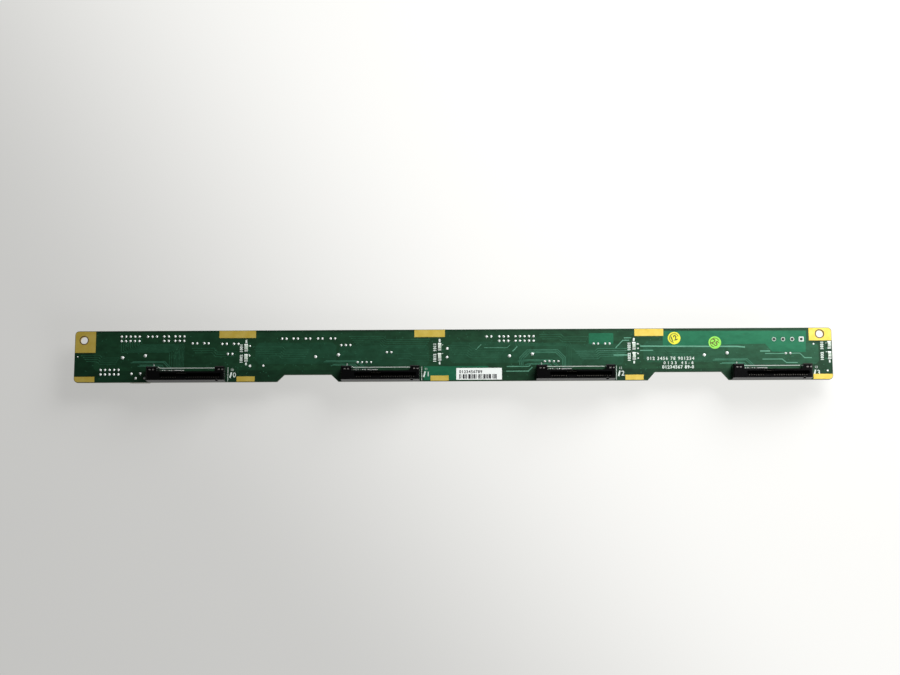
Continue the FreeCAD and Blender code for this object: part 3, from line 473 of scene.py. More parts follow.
# %% Print, papers and sleeves
PRINT = varied("white_print", (0.72, 0.80, 0.74), 0.55, grain=(6000.0, 2.0, 0.00001, 0.3),
               tone=(3000.0, 2.0, (0.60, 0.70, 0.63), (0.78, 0.84, 0.79)))
LABEL = varied("label_film", (0.88, 0.92, 0.89), 0.4, gloss=(700.0, 2.0, 0.34, 0.5))
INK = varied("black_ink", (0.014, 0.015, 0.018), 0.5, gloss=(4000.0, 2.0, 0.4, 0.6))
STAMP = varied("stamp_ink", (0.10, 0.12, 0.01), 0.6, tone=(2500.0, 3.0, (0.05, 0.06, 0.01), (0.20, 0.22, 0.02)))
YELLOW = varied("yellow_paper", (0.82, 0.78, 0.03), 0.6, grain=(3000.0, 4.0, 0.00002, 0.4),
                tone=(900.0, 3.0, (0.78, 0.72, 0.02), (0.85, 0.82, 0.05)))
GREEN = varied("green_paper", (0.28, 0.78, 0.08), 0.6, grain=(3000.0, 4.0, 0.00002, 0.4),
               tone=(900.0, 3.0, (0.24, 0.72, 0.06), (0.33, 0.84, 0.11)))
SLEEVE = varied("capacitor_sleeve", (0.010, 0.012, 0.03), 0.28, Coat_Weight=0.5, gloss=(600.0, 2.0, 0.22, 0.36))
SLEEVE_STRIPE = varied("sleeve_stripe", (0.45, 0.47, 0.50), 0.32, Coat_Weight=0.5, gloss=(600.0, 2.0, 0.26, 0.40))
CAN_TOP = finish("capacitor_top", (0.74, 0.75, 0.76), 0.3, 0.95)
roughen(CAN_TOP, object_noise(CAN_TOP, scale=3000.0, detail=2.0, stretch=(1.0, 0.1, 1.0)), low=0.24, high=0.42)
print("finishes made:", len(bpy.data.materials))

# %% [markdown]
# ## Give the CAD nodes their finish
# A CAD node has its shape already and only needs a finish. Its name says what it is made of, so a short table
# from the start of a name to a finish covers them all, and a longer start goes before a shorter one.

# %% Dress the CAD nodes
NODE_FINISH = {
    "circuit_board": MASK,
    "edge_lands": GOLD,
    "drive_connector": BLACK_PLASTIC,
    "signal_contacts": SLOT_SHADED_SPRING,
    "power_contacts": SLOT_SHADED_SPRING,
    "second_contacts": SLOT_SHADED_SPRING,
    "rear_tails": SOLDER_PAINTED_SHINE,
    "board_locks": LOCK_METAL,
    "activity_lamp": LAMP,
    "fault_lamp": LAMP,
    "lamp_solder": SOLDER_PAINTED_SHINE,
    "data_header": BLACK_PLASTIC,
    "data_contacts": GOLD,
    "power_inlet_pins": TIN,
    "power_inlet": NATURAL_PLASTIC,
    "pin_header": BLACK_PLASTIC,
    "locking_header": NATURAL_PLASTIC,
    "header_pins": TIN,
    "staggered_header_pins": TIN,
    "staggered_header": NATURAL_PLASTIC,
    "capacitors": SLEEVE,
    "solder_joints": SOLDER_PAINTED_SHINE,
    "barcode_label": LABEL,
    "yellow_sticker": YELLOW,
    "green_sticker": GREEN,
}


def finish_of(name):
    """The finish of the longest matching start of a node's name."""
    return NODE_FINISH[max((start for start in NODE_FINISH if name.startswith(start)), key=len)]


for name, item in frame["nodes"].items():
    item.data.materials.clear()
    item.data.materials.append(finish_of(name))
print("dressed nodes:", len(frame["nodes"]))

# %% [markdown]
# ## Copper under the mask
# A circuit board is seen as shades of one green: the mask is palest over bright copper, darker over the ground
# plane and the inner planes, and darkest over bare laminate. A painted pattern could show this, but raised
# copper also catches the light at its edges, as the real layers do. So each area is a low outline of its own,
# and the layers rise a little one above the other.

# %% Wide copper
GROUND_RISE = 0.01
PLANE_RISE = 0.02
COPPER_RISE = 0.035
CONNECTOR_LOW, CONNECTOR_HIGH = place("drive_connector_0")
CONNECTOR_HALF = (CONNECTOR_HIGH - CONNECTOR_LOW)[0] / 2
EAR_TOP = CONNECTOR_HIGH[1]
BEHIND_EARS = EAR_TOP + 0.9
BUSY_LAMP = LAMP_X[LAST - 1]
INLET_LOW, INLET_HIGH = place("power_inlet")


def ground_plane():
    """The wide plane along the middle of the board: a rectangle with cut corners, clear of the lands."""
    outline = box_outline(BOARD_LOW[0] + 11.0, NEAR_Y + 6.5, INLET_HIGH[0] + 1.0, FAR_Y - 1.2, cut=1.5)
    return flat_area(outline, GROUND_RISE)


def inner_planes():
    """Inner planes that show through: rectangles with cut corners.

    One lies behind each connector but the first, and one beyond each lamp pair but the last.
    """
    areas = []
    for x, lamp in zip(CONNECTOR_X[1:], LAMP_X[1:]):
        left, right, top = x - CONNECTOR_HALF - 1.5, lamp - 6.0, 5.9
        areas.append(flat_area(box_outline(left, BEHIND_EARS, right, top, cut=1.6), PLANE_RISE))
    for lamp, x in zip(LAMP_X[:-1], CONNECTOR_X[1:]):
        left, right, foot, top = lamp + 5.2, x - CONNECTOR_HALF - 3.2, EAR_TOP + 2.2, 7.6
        areas.append(flat_area(box_outline(left, foot, right, top, cut=2.2), PLANE_RISE))
    return joined(areas)


def wide_copper():
    """The power area at the right end, the area round the label, and the block left of the busiest lamps.

    Each is an outline whose slanting sides run at about 45 degrees.
    """
    land_right, inlet_left, inlet_right = BUSY_LAMP + 16.3, INLET_LOW[0], INLET_HIGH[0]
    power = [(land_right, 4.6), (inlet_left - 1.2, 5.7), (inlet_left + 2.6, 1.2), (inlet_right - 1.6, 0.8),
             (inlet_right - 1.1, FAR_Y - 1.7), (land_right, FAR_Y - 1.5)]
    left, label_right = CONNECTOR_X[1] + CONNECTOR_HALF + 2.2, place("barcode_label")[1][0]
    right, foot, step, top = label_right - 6.2, NEAR_Y + 0.5, -8.1, -6.3
    by_label = [(left, foot), (right, foot), (right, step), (label_right - 8.0, top), (left, top)]
    block = box_outline(BUSY_LAMP - 25.3, 5.9, BUSY_LAMP - 11.4, FAR_Y - 2.5, cut=0.6)
    return joined([flat_area(outline, COPPER_RISE) for outline in (power, by_label, block)])


new_piece("ground_plane", *ground_plane(), MASK_GROUND, "solder_mask")
new_piece("inner_planes", *inner_planes(), MASK_PLANE, "solder_mask")
new_piece("wide_copper", *wide_copper(), MASK_COPPER, "solder_mask")

# %% [markdown]
# Tracks leave a pin at a right angle, turn through 45 degrees onto a lane of their own, and leave the lane in
# the same way. Lanes are dealt out in order, so that no two tracks cross. Drawing every track by hand would be
# slow, and a rule for the lanes gives the same combed look.

# %% Tracks from headers and connectors
TRACK_RISE = 0.05
TRACK_WIDTH = 0.22
SIGNAL_WIDTH = 0.34
HALF_PITCH = 1.27
TAILS = [np.array(islands(f"rear_tails_{bay}")) for bay in range(BAYS)]


def lane_route(start, lane, end, bend=0.7):
    """From start up or down to a lane, along it, and up or down to the end, with 45 degree bends."""
    side = np.sign(end[0] - start[0])
    first, last = np.sign(lane - start[1]), np.sign(end[1] - lane)
    return [start, (start[0], lane - first * bend), (start[0] + side * bend, lane),
            (end[0] - side * bend, lane), (end[0], lane + last * bend), end]


def header_pins_of(base):
    """Joints over one header base: the near row from left to right, then the far row."""
    pins = JOINTS[inside(JOINTS, *base)][:, :2]
    return pins[np.lexsort([pins[:, 0], pins[:, 1]])]


def tail_ends(bay):
    """Far ends of a connector's tails, from left to right."""
    low, high = TAILS[bay]
    ends = np.column_stack([(low[:, 0] + high[:, 0]) / 2, high[:, 1]])
    return ends[np.argsort(ends[:, 0])]


def header_to_tails(base, bay, first_tail, top_lane, lane_step=0.5):
    """A header's near row, and the far row between it, to tails of a connector.

    Both rows are sorted from left to right, and so are the tails, so the order is kept.
    """
    pins = header_pins_of(base)
    near_row = pins[:, 1].min()
    near = pins[pins[:, 1] < near_row + 0.1]
    far = pins[pins[:, 1] > near_row + 0.1] + (HALF_PITCH, 0.0)
    starts = np.vstack([near, np.column_stack([far[:, 0], np.full(len(far), near_row)])])
    starts = starts[np.argsort(starts[:, 0])]
    ends = tail_ends(bay)[first_tail:first_tail + len(starts)]
    lanes = top_lane - lane_step * np.arange(len(ends))[::-1]
    routes = [lane_route(a, lane, b) for a, lane, b in zip(starts[:len(ends)], lanes, ends)]
    routes += [[(x - HALF_PITCH, y), (x, y - HALF_PITCH), (x, near_row)] for x, y in far]
    return [strip(route, TRACK_WIDTH, TRACK_RISE) for route in routes]


five_pin_bases = sorted(all_islands(["pin_header_two_by_five"]), key=lambda corners: corners[0][0])
left_base, middle_base = five_pin_bases[1:]
header_tracks = header_to_tails(left_base, bay=0, first_tail=4, top_lane=6.9)
header_tracks += header_to_tails(middle_base, bay=2, first_tail=10, top_lane=6.6)
print("header tracks:", len(header_tracks))

# %% Tracks that repeat in every bay
PAIR_STARTS = ((-32.2, -2.9), (-28.3, -4.9))
PAIR_GAP = 0.62
LAMP_DROPS = (0.55, -0.2)
LAMP_STEPS = (1.5, 2.4)


def signal_pairs(bay):
    """Two pairs of tracks, each along a lane and down at 45 degrees to one of the connector's first tails."""
    tails = tail_ends(bay)
    pairs = []
    for pair, (left, lane) in enumerate(PAIR_STARTS):
        for k in range(2):
            x, y = tails[4 - 3 * pair + k]
            lane_y, above = lane - PAIR_GAP * (1 - k), y + 0.6
            corner = abs(lane_y - above)
            route = [(CONNECTOR_X[bay] + left + k * 1.1, lane_y), (x - corner, lane_y), (x, above), (x, y)]
            pairs.append(strip(route, SIGNAL_WIDTH, TRACK_RISE))
    return pairs


def lamp_tracks(bay):
    """Feeds from both ends of each lamp to the vias beside it: a slanting run and a short level one."""
    feeds = []
    side = -1 if bay == LAST else 1
    for name in ("activity_lamp", "fault_lamp"):
        low, high = place(f"{name}_{bay}")
        lamp_x = (low[0] + high[0]) / 2
        for y, drop in zip((high[1], low[1]), LAMP_DROPS):
            route = [(lamp_x, y)] + [(lamp_x + side * step, y + drop) for step in LAMP_STEPS]
            feeds.append(strip(route, 0.4, TRACK_RISE))
    return feeds


JOG_SHIFT = 0.41


def bus(left, right, lanes, top, step, jog_at, jog):
    """Parallel lanes along the board, all moved sideways by one 45 degree jog; the ends are staggered.

    The jog shifts from lane to lane by 0.41 of the step, the tangent of 22.5 degrees, so that the lanes stay
    evenly apart.
    """
    lines, ends = [], []
    for lane in range(lanes):
        y = top - step * lane
        turn = jog_at + (lanes - lane if jog < 0 else lane) * step * JOG_SHIFT
        start, stop = (left + 0.9 * lane, y), (right - 0.7 * lane, y + jog)
        lines.append(strip([start, (turn, y), (turn + abs(jog), y + jog), stop], TRACK_WIDTH, TRACK_RISE))
        ends += [start, stop]
    return lines, ends


def arches(bay, count):
    """Octagonal tracks over the four-way header of a bay, from vias on its left to the longer tails.

    Each starts 0.9 mm further right and runs 0.8 mm lower than the one before, so they lie one inside another.
    """
    tails = tail_ends(bay)[7:7 + count][::-1]
    lines, ends = [], []
    for k, (right, foot) in enumerate(tails):
        left, top, cut = CONNECTOR_X[bay] - 31.1 + 0.9 * k, 2.8 - 0.8 * k, 4.3 - 0.3 * k
        lines.append(strip([(left, BEHIND_EARS), (left, top - cut), (left + cut, top), (right - cut, top),
                            (right, top - cut), (right, foot)], SIGNAL_WIDTH, TRACK_RISE))
        ends.append((left, BEHIND_EARS))
    return lines, ends


tracks = [feed for bay in range(BAYS) for feed in lamp_tracks(bay)] + header_tracks
signals = [line for bay in range(BAYS) for line in signal_pairs(bay)]
arch_tracks, via_places = arches(LAST - 1, count=3)
signals += arch_tracks
print("tracks so far:", len(tracks), "signals so far:", len(signals))

# %% Buses along the board
BUSES = (  # left end, right end, lanes, top lane, step, place of the jog, jog
    (-209.0, -188.0, 4, 0.9, 1.2, -201.0, -1.6),
    (-146.5, -121.5, 3, 4.6, 1.3, -136.0, -2.2),
    (-112.0, -80.5, 5, 5.2, 1.25, -98.0, -1.8),
    (-57.5, -12.5, 5, 11.0, 1.1, -41.0, -1.9),
    (-31.5, -10.5, 3, 0.9, 1.3, -24.5, -1.2),
    (-2.0, 30.0, 5, 5.3, 1.2, 7.5, -1.8),
    (49.5, 76.5, 3, 11.6, 1.3, 60.0, -1.5),
    (69.5, 99.5, 5, 1.9, 1.1, 80.5, 1.5),
    (109.5, 139.0, 2, 2.9, 1.2, 119.0, -1.3),
)
for left, right, *shape in BUSES:
    bus_tracks, bus_ends = bus(left, right, *shape)
    by_lamps = left < BUSY_LAMP - 6 < right + 6
    (signals if by_lamps else tracks).extend(bus_tracks)
    via_places += bus_ends
new_piece("tracks", *joined(tracks), MASK_TRACE, "solder_mask")
new_piece("signal_tracks", *joined(signals), MASK_SIGNAL, "solder_mask")

# %% Bright tracks at the right end
def bright_tracks():
    """The wide feed along the power area, the tracks round the last capacitor, and short ones by the label.

    Each row is a width and the corners of a route.
    """
    lamp, inlet = BUSY_LAMP, middle("power_inlet")[0]
    last_can = CAN_LOW[:, 0].argmax()
    near, far = JOINTS[inside(JOINTS, CAN_LOW[last_can], CAN_HIGH[last_can])][:, :2]
    routes = [
        (0.75, [(lamp + 3.6, 4.6), (lamp + 58.0, 4.2), (lamp + 62.2, 3.8)]),
        (0.60, [(inlet - 15.6, 1.5), (inlet - 10.0, 1.5)]),
        (0.34, [(inlet - 12.8, 0.1), (near[0] - 1.6, 0.1), near]),
        (0.40, [(inlet - 14.4, -3.1), (inlet - 3.4, -3.1), (inlet - 1.0, -5.1), (inlet + 5.1, -5.1)]),
        (0.40, [far, (inlet + 6.6, far[1]), (inlet + 9.2, -2.4), (inlet + 13.1, -2.4)]),
        (0.50, [(30.5, -9.3), (43.0, -9.3), (45.3, -7.0)]),
        (0.50, [(31.0, -6.6), (43.4, -6.6), (45.0, -5.0)]),
        (0.60, [(lamp - 11.5, -0.4), (lamp - 2.5, -0.4)]),
        (0.45, [(lamp - 10.3, 3.7), (lamp - 6.2, 8.0), (lamp - 2.6, 8.0)]),
        (0.45, [(lamp - 5.6, 9.4), (lamp - 1.4, 9.4)]),
        (0.38, [(lamp - 19.0, 2.2), (lamp - 2.4, 2.2)]),
        (0.45, [(lamp + 3.4, 2.2), (lamp + 10.8, 2.2)]),
        (0.30, [(13.6, 3.0), (16.6, 6.0)]),
        (0.22, [(18.3, 4.2), (31.4, 4.2), (32.9, 5.7)]),
        (0.50, [(34.2, 2.0), (37.0, 4.8)]),
    ]
    return joined([strip(route, width, TRACK_RISE) for width, route in routes])


new_piece("bright_tracks", *bright_tracks(), MASK_BRIGHT, "solder_mask")

# %% [markdown]
# ## Vias and test dots
# A via is a plated hole that joins two layers. The mask covers it, so it shows as a small raised ring. Vias
# stand at the ends of the lanes, and a seeded scatter fills the quiet areas, clear of pins and connectors. The
# seed makes the scatter the same in each run.

# %% Vias
NOTCHES = ((0, 16.5), (2, 6.3))  # the bay before each notch, and how far past that bay's lamps the notch begins
NOTCH_DEPTH = 5.5


def scattered_vias(count, seed, edge_gap=1.5, joint_gap=1.7, body_gap=0.8):
    """Points from a seeded uniform scatter, less those near the edge, a joint, a body, a land or a notch."""
    random = np.random.default_rng(seed)
    points = random.uniform(BOARD_LOW[:2] + edge_gap, BOARD_HIGH[:2] - edge_gap, (count, 2))
    keep = np.linalg.norm(points[:, None] - JOINTS[None, :, :2], axis=2).min(axis=1) > joint_gap
    bodies = ("drive_connector", "barcode", "yellow", "green", "activity", "fault")
    blocked = [place(name) for name in frame["nodes"] if name.startswith(bodies)]
    for corners in blocked + all_islands(["edge_lands"]):
        keep &= ~inside(points, *corners, margin=body_gap)
    for bay, past_lamps in NOTCHES:
        notch_start, notch_end = LAMP_X[bay] + past_lamps, CONNECTOR_X[bay + 1] - CONNECTOR_HALF
        keep &= ~inside(points, (notch_start, NEAR_Y), (notch_end, NEAR_Y + NOTCH_DEPTH))
    return points[keep]


def via_rings(places, under=False, radius=0.28):
    """A small ring at each place, with a hole of 0.45 of its radius."""
    return ring(places, radius * 0.45, radius, 0.04, 10, under)


vias = np.vstack([np.array(via_places), scattered_vias(count=420, seed=7)])
new_piece("vias", *via_rings(vias), MASK_TRACE, "solder_mask")

# %% Test dots
DOT_RISE = 0.16
SQUARE_RISE = 0.08
ROUND_DOTS = np.array([  # x, y, radius
    (LAMP_X[0] + 9.9, -5.5, 0.62), (LAMP_X[0] + 2.2, 5.8, 0.45), (LAMP_X[0] + 2.0, 0.3, 0.45),
    (LAMP_X[1] + 4.3, 3.8, 0.75), (LAMP_X[1] + 4.2, -1.07, 0.7), (BOARD_HIGH[0] - 10.2, 5.44, 0.5),
    (BOARD_HIGH[0] - 2.9, -9.75, 0.5), (BOARD_LOW[0] + 1.7, 0.1, 0.35),
])
SQUARE_DOTS = [(LAMP_X[0] + 2.35, -5.57, 0.62)] + [(BUSY_LAMP + 2.3, y, 0.36) for y in (5.9, 3.4, 0.4, -2.2)]
EAR_DOTS = [(x - 18.9, -5.0) for x in CONNECTOR_X]


def dots():
    """Bare tinned dots: low domes r(t) = R cos t, h(t) = H sin t, flat rings, and squares with cut corners."""
    arc = np.linspace(0, math.pi / 2, 5)
    centres = np.column_stack([ROUND_DOTS[:, :2], np.full(len(ROUND_DOTS), BOARD_TOP)])
    round_dots = turned(centres, ROUND_DOTS[:, 2:] * np.cos(arc) + POLE, DOT_RISE * np.sin(arc), 16)
    squares = [flat_area(box_outline(x - half, y - half, x + half, y + half, cut=0.15), SQUARE_RISE)
               for x, y, half in SQUARE_DOTS]
    return joined([round_dots, ring(EAR_DOTS, 0.12, 0.42, 0.05)] + squares)


new_piece("test_dots", *dots(), SOLDER_PAINTED_SHINE, "solder")

# %% [markdown]
# ## Print on the board
# White print outlines the connectors and numbers the bays. It is a thick ink, so it stands up a little and is
# built, not painted. Plain numerals come from the built-in font: each is made a mesh first, and its points then
# join the piece. Where a board carries wording, this one has rows of plain numbers.

# %% Numerals as points
PRINT_RISE = 0.06
FIGURE_SHARE = 0.70


def numerals(text, centre, height, turn=0.0, weight=0.0, spacing=1.0, rise=PRINT_RISE, level=BOARD_TOP):
    """A number as points and faces: height in millimetres, turned about its centre by an angle in radians.

    A figure is 0.70 of the font's size high. weight widens each stroke to both sides, in millimetres, and spacing
    spreads the figures. Each point (x, y) less the middle of the text is turned to (x cos a - y sin a,
    x sin a + y cos a).
    """
    curve = bpy.data.curves.new("numerals", "FONT")
    curve.body = text
    curve.size = height / FIGURE_SHARE
    curve.offset = weight
    curve.space_character = spacing
    curve.align_x = "CENTER"
    curve.extrude = rise / 2
    curve.resolution_u = 3
    carrier = bpy.data.objects.new("numerals", curve)
    mesh = bpy.data.meshes.new_from_object(carrier)
    points = np.empty(len(mesh.vertices) * 3)
    mesh.vertices.foreach_get("co", points)
    points = points.reshape(-1, 3)
    faces = [list(polygon.vertices) for polygon in mesh.polygons]
    bpy.data.objects.remove(carrier)
    bpy.data.curves.remove(curve)
    bpy.data.meshes.remove(mesh)
    flat = points[:, :2] - (points.min(axis=0) + points.max(axis=0))[:2] / 2
    cos, sin = math.cos(turn), math.sin(turn)
    turned_flat = flat @ np.array([[cos, sin], [-sin, cos]])
    return np.column_stack([turned_flat + centre, points[:, 2] + level + rise / 2]), faces


print("a printed 8 has", len(numerals("8", (0, 0), 2.0)[1]), "faces")

# %% Printed lines and bay numbers
MARK_ROWS = (("1", 4.5), ("2", -1.4))
LAMP_STROKES = ((7.5, 9.3, 0.9), (-3.7, -5.2, 0.8))


def connector_print(bay):
    """A line behind the connector with a slanting start, one beside it, and the bay's number after a stroke."""
    x, right = CONNECTOR_X[bay], CONNECTOR_X[bay] + CONNECTOR_HALF
    line_y, beside = EAR_TOP + 0.1, right + 1.05
    parts = [
        strip([(x - 16.6, BEHIND_EARS), (x - 15.4, line_y), (x + 16.4, line_y)], 0.26, PRINT_RISE),
        numerals(str(bay), (right + 4.7, -10.7), 2.7, weight=0.03),
        strip([(right + 2.2, -12.4), (right + 3.0, -9.2)], 0.75, PRINT_RISE),
        numerals(f"1{bay}", (right + 3.5, -7.7), 1.3),
    ]
    if bay < LAST:
        parts.append(strip([(beside, EAR_TOP + 0.3), (beside, NEAR_Y + 0.4)], 0.12, PRINT_RISE))
    return parts


def lamp_print(bay):
    """Plain numbers up the side of a lamp pair, a stroke beyond each end of it, and two ticks."""
    lamp = LAMP_X[bay]
    side, marks_x = (-1, lamp - 4.1) if bay == LAST else (1, lamp - 2.7)
    parts = [numerals(f"10{bay}{figure}", (marks_x, y), 1.5, math.pi / 2, weight=0.12, spacing=1.15)
             for figure, y in MARK_ROWS]
    parts += [strip([(lamp, start), (lamp, stop)], width, PRINT_RISE) for start, stop, width in LAMP_STROKES]
    parts += [strip([(lamp + side * 1.4, y), (lamp + side * 2.0, y)], 0.28, PRINT_RISE) for y in (5.9, 0.9)]
    return parts


def marking_block():
    """Three rows of plain numbers in the place of the board's wording."""
    centre = BUSY_LAMP + 20.0
    return [
        numerals("012 3456 78 901234", (centre + 0.4, -2.4), 1.75, weight=0.05, spacing=1.27),
        numerals("0123 45-6", (centre + 4.8, -4.9), 1.6, weight=0.05, spacing=1.8),
        numerals("01234567 89-0", (centre + 4.5, -7.3), 1.7, weight=0.09, spacing=1.2),
    ]


board_print = marking_block()
for bay in range(BAYS):
    board_print += connector_print(bay) + lamp_print(bay)
new_piece("board_print", *joined(board_print), PRINT, "label")

# %% [markdown]
# The label has a field of bars under a row of numerals, and each round sticker has a stamped number in an open
# ring. The bars repeat a short pattern of widths and gaps, so they read as bars but say nothing.

# %% Print on the label and the stickers
INK_RISE = 0.01
BAR_WIDTHS = (0.5, 0.4, 1.0, 0.4, 0.6, 1.2, 0.4, 0.6, 0.9, 0.4, 0.4, 0.6)
BAR_GAPS = (0.3, 0.8, 0.25, 0.25, 0.65, 0.2, 0.4, 0.2)
STAMPS = (("yellow_sticker", "12", 0.35), ("green_sticker", "25", -0.6))


def lifted(part, level):
    """A part made on the board's top, moved up to another level."""
    points, faces = part
    return points + (0, 0, level - BOARD_TOP), faces


def label_print():
    """A field of upright bars, whose widths and gaps repeat, under a row of plain numerals."""
    low, high = place("barcode_label")
    left = x = low[0] + 1.6
    foot, top, end = low[1] + 0.5, low[1] + 3.1, high[0] - 2.8
    parts = []
    while x < end:
        width, gap = BAR_WIDTHS[len(parts) % len(BAR_WIDTHS)], BAR_GAPS[len(parts) % len(BAR_GAPS)]
        parts.append(lifted(flat_area(box_outline(x, foot, x + width, top), INK_RISE), high[2]))
        x += width + gap
    parts.append(numerals("0123456789", (left + 6.5, low[1] + 4.5), 1.6, weight=0.08, spacing=1.15,
                          rise=INK_RISE, level=high[2]))
    return joined(parts)


def sticker_marks():
    """A stamped number on each round sticker, in an open ring: centre + R (cos a, sin a), a from 0.4 to 4.6."""
    angle = np.linspace(0.4, 4.6, 22)
    arc = 2.55 * np.column_stack([np.cos(angle), np.sin(angle)])
    parts = []
    for name, number, turn in STAMPS:
        centre, top = middle(name)[:2], place(name)[1][2]
        parts.append(numerals(number, centre, 2.9, turn, weight=0.14, rise=INK_RISE, level=top))
        parts.append(lifted(strip(centre + arc, 0.42, INK_RISE), top))
    return joined(parts)


new_piece("label_print", *label_print(), INK, "label")
new_piece("sticker_marks", *sticker_marks(), STAMP, "label")

# %% [markdown]
# ## Plated holes
# The two screw holes are plated through: a thin gold lining runs from land to land. A narrow dark ring round
# each hole, coloured like bare laminate, is painted shade at the hole's rim. Both are turned round the places
# where the CAD model says that the screws go.

# %% Hole linings and rims
LAND_TOP = place("edge_lands")[1][2]
HOLES = [(np.array(mount["pos_m"][:2]) / MM, mount["dims"]["r_mm"]) for mount in frame["record"]["mounts"]]


def hole_linings():
    """A tube just inside each screw hole, of radius R - 0.03 from underside to top, over a flat rim below."""
    parts = []
    for (x, y), hole in HOLES:
        radius = hole - 0.03
        radii = np.array([radius + 1.2, radius + 1.2, radius, radius])
        heights = np.array([0.0, -0.04, -0.04, LAND_TOP - BOARD_UNDER])
        parts.append(turned([(x, y, BOARD_UNDER)], radii, heights, 48))
    points, faces = joined(parts)
    return points, [face[::-1] for face in faces]


def hole_rims():
    """A narrow ring of painted shade round each screw hole, on the land, from R to R + 0.45."""
    rise = LAND_TOP - BOARD_TOP + 0.02
    return joined([ring(centre, radius, radius + 0.45, rise, 48) for centre, radius in HOLES])


new_piece("hole_linings", *hole_linings(), GOLD, "gold")
new_piece("hole_rims", *hole_rims(), PAINTED_HOLE_SHADE, "solder_mask")

# %% [markdown]
# ## Solder joints
# Each CAD joint is an eight-sided frustum that holds the place. The real joint is a skirt of solder that climbs
# in a hollow curve from its pad to the cut end of a lead, and molten solder is smooth, so a turned profile with
# smooth shading suits it. The wide joints of the power inlet are rings round a sunk pin end.

# %% Round solder joints on the drive side
JOINT_WIDTH, JOINT_RISE = (JOINT_HIGH - JOINT_LOW)[:, [0, 2]].T
JOINT_FEET = np.column_stack([JOINTS[:, :2], JOINT_LOW[:, 2]])
POWER_WAYS = JOINT_WIDTH > 2.5
SKIRT_SHARE = 0.43
LEAD_SHARE = 0.38
FILLET_SHARE = 0.36
DOME_SHARE = 0.24
PAD_RADIUS = 1.15
PAD_HALF = 0.13


def solder_skirts(chosen):
    """Turned joints: radius r(t) = r0 (1 - 0.62 t^0.8), height h(t) = 0.36 h0 t^1.3, then a domed lead end."""
    rise = np.linspace(0, 1, 9)
    dome = np.linspace(0, math.pi / 2, 5)[1:]
    radii = np.concatenate([1 - (1 - LEAD_SHARE) * rise ** 0.8, LEAD_SHARE * np.cos(dome) + 1e-4])
    heights = np.concatenate([FILLET_SHARE * rise ** 1.3, FILLET_SHARE + DOME_SHARE * np.sin(dome)])
    widths, rises = JOINT_WIDTH[chosen, None] * SKIRT_SHARE, JOINT_RISE[chosen, None]
    return turned(JOINT_FEET[chosen], widths * radii, rises * heights, 24)


def power_pads():
    """Pads of the power inlet: a rounded ring of solder, r = R (1 - a (1 - cos t)), h = 0.26 sin t."""
    turn = np.linspace(0, math.pi, 9)
    radii = 1.0 - PAD_HALF + PAD_HALF * np.cos(turn)
    return turned(JOINT_FEET[POWER_WAYS], PAD_RADIUS * radii, 0.26 * np.sin(turn), 28)


def sunk_pins():
    """The pin ends inside the power pads: a flat disc, dark with painted shade, that rises in the middle to a
    small blunt cone.
    """
    radii = np.array([0.74, 0.44, 0.38, 0.22, POLE])
    heights = np.array([0.05, 0.05, 0.16, 0.22, 0.24])
    return turned(JOINT_FEET[POWER_WAYS], radii, heights, 20)


def square_pad(half=1.2):
    """Four strips of solder in a square round the right-hand pin of the power inlet."""
    x, y = max(JOINTS[POWER_WAYS, :2], key=lambda centre: centre[0])
    return joined(frame_strip(x - half, y - half, x + half, y + half, 0.24, 0.1))


joints = new_piece("turned_joints", *solder_skirts(~POWER_WAYS), SOLDER_PAINTED_SHINE, "solder", smooth=True)
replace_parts(joints, "solder_joints")
new_piece("power_pads", *power_pads(), SOLDER_PAINTED_SHINE, "solder", smooth=True)
new_piece("sunk_pins", *sunk_pins(), PAINTED_SHADE_METAL, "tin", smooth=True)
new_piece("square_pad", *square_pad(), SOLDER_PAINTED_SHINE, "solder")

# %% [markdown]
# ## Connector tails
# A connector's tails leave its far side, bend down and end in flat feet on their pads. The path is an S in the
# y-z plane, given a thickness along its normals. Each foot carries a small mound of solder: a sheet over a
# rectangle is enough, because its edges meet the board.

# %% Formed tails and their solder
TAIL_THICKNESS = 0.14
FOOT_RISE = 0.08
TAIL_FALL = 0.95
BEND_SHARE = 0.55


def formed_tails():
    """Gull-wing tails: y = y0 + L s, z = foot + H (1 - smoothstep(s / 0.55)), offset by half a thickness."""
    share = np.linspace(0, 1, 14)
    ease = np.clip(share / BEND_SHARE, 0, 1)
    fall = 1 - ease ** 2 * (3 - 2 * ease)
    last = 4 * (len(share) - 1)
    caps = np.array([[3, 2, 1, 0], [last, last + 1, last + 2, last + 3]])
    faces = np.vstack([grid_faces(len(share), 4, True), caps])
    parts = []
    for left, right in (corners for low, high in TAILS for corners in zip(low, high)):
        path = np.column_stack([left[1] + (right[1] - left[1]) * share, left[2] + FOOT_RISE + TAIL_FALL * fall])
        run = np.gradient(path, axis=0)
        run /= np.linalg.norm(run, axis=1)[:, None]
        normal = np.column_stack([-run[:, 1], run[:, 0]]) * TAIL_THICKNESS / 2
        section = np.stack([path - normal, path - normal, path + normal, path + normal], axis=1)
        across = np.tile([left[0], right[0], right[0], left[0]], (len(path), 1))
        parts.append((np.concatenate([across[:, :, None], section], axis=2).reshape(-1, 3), faces))
    return joined(parts)


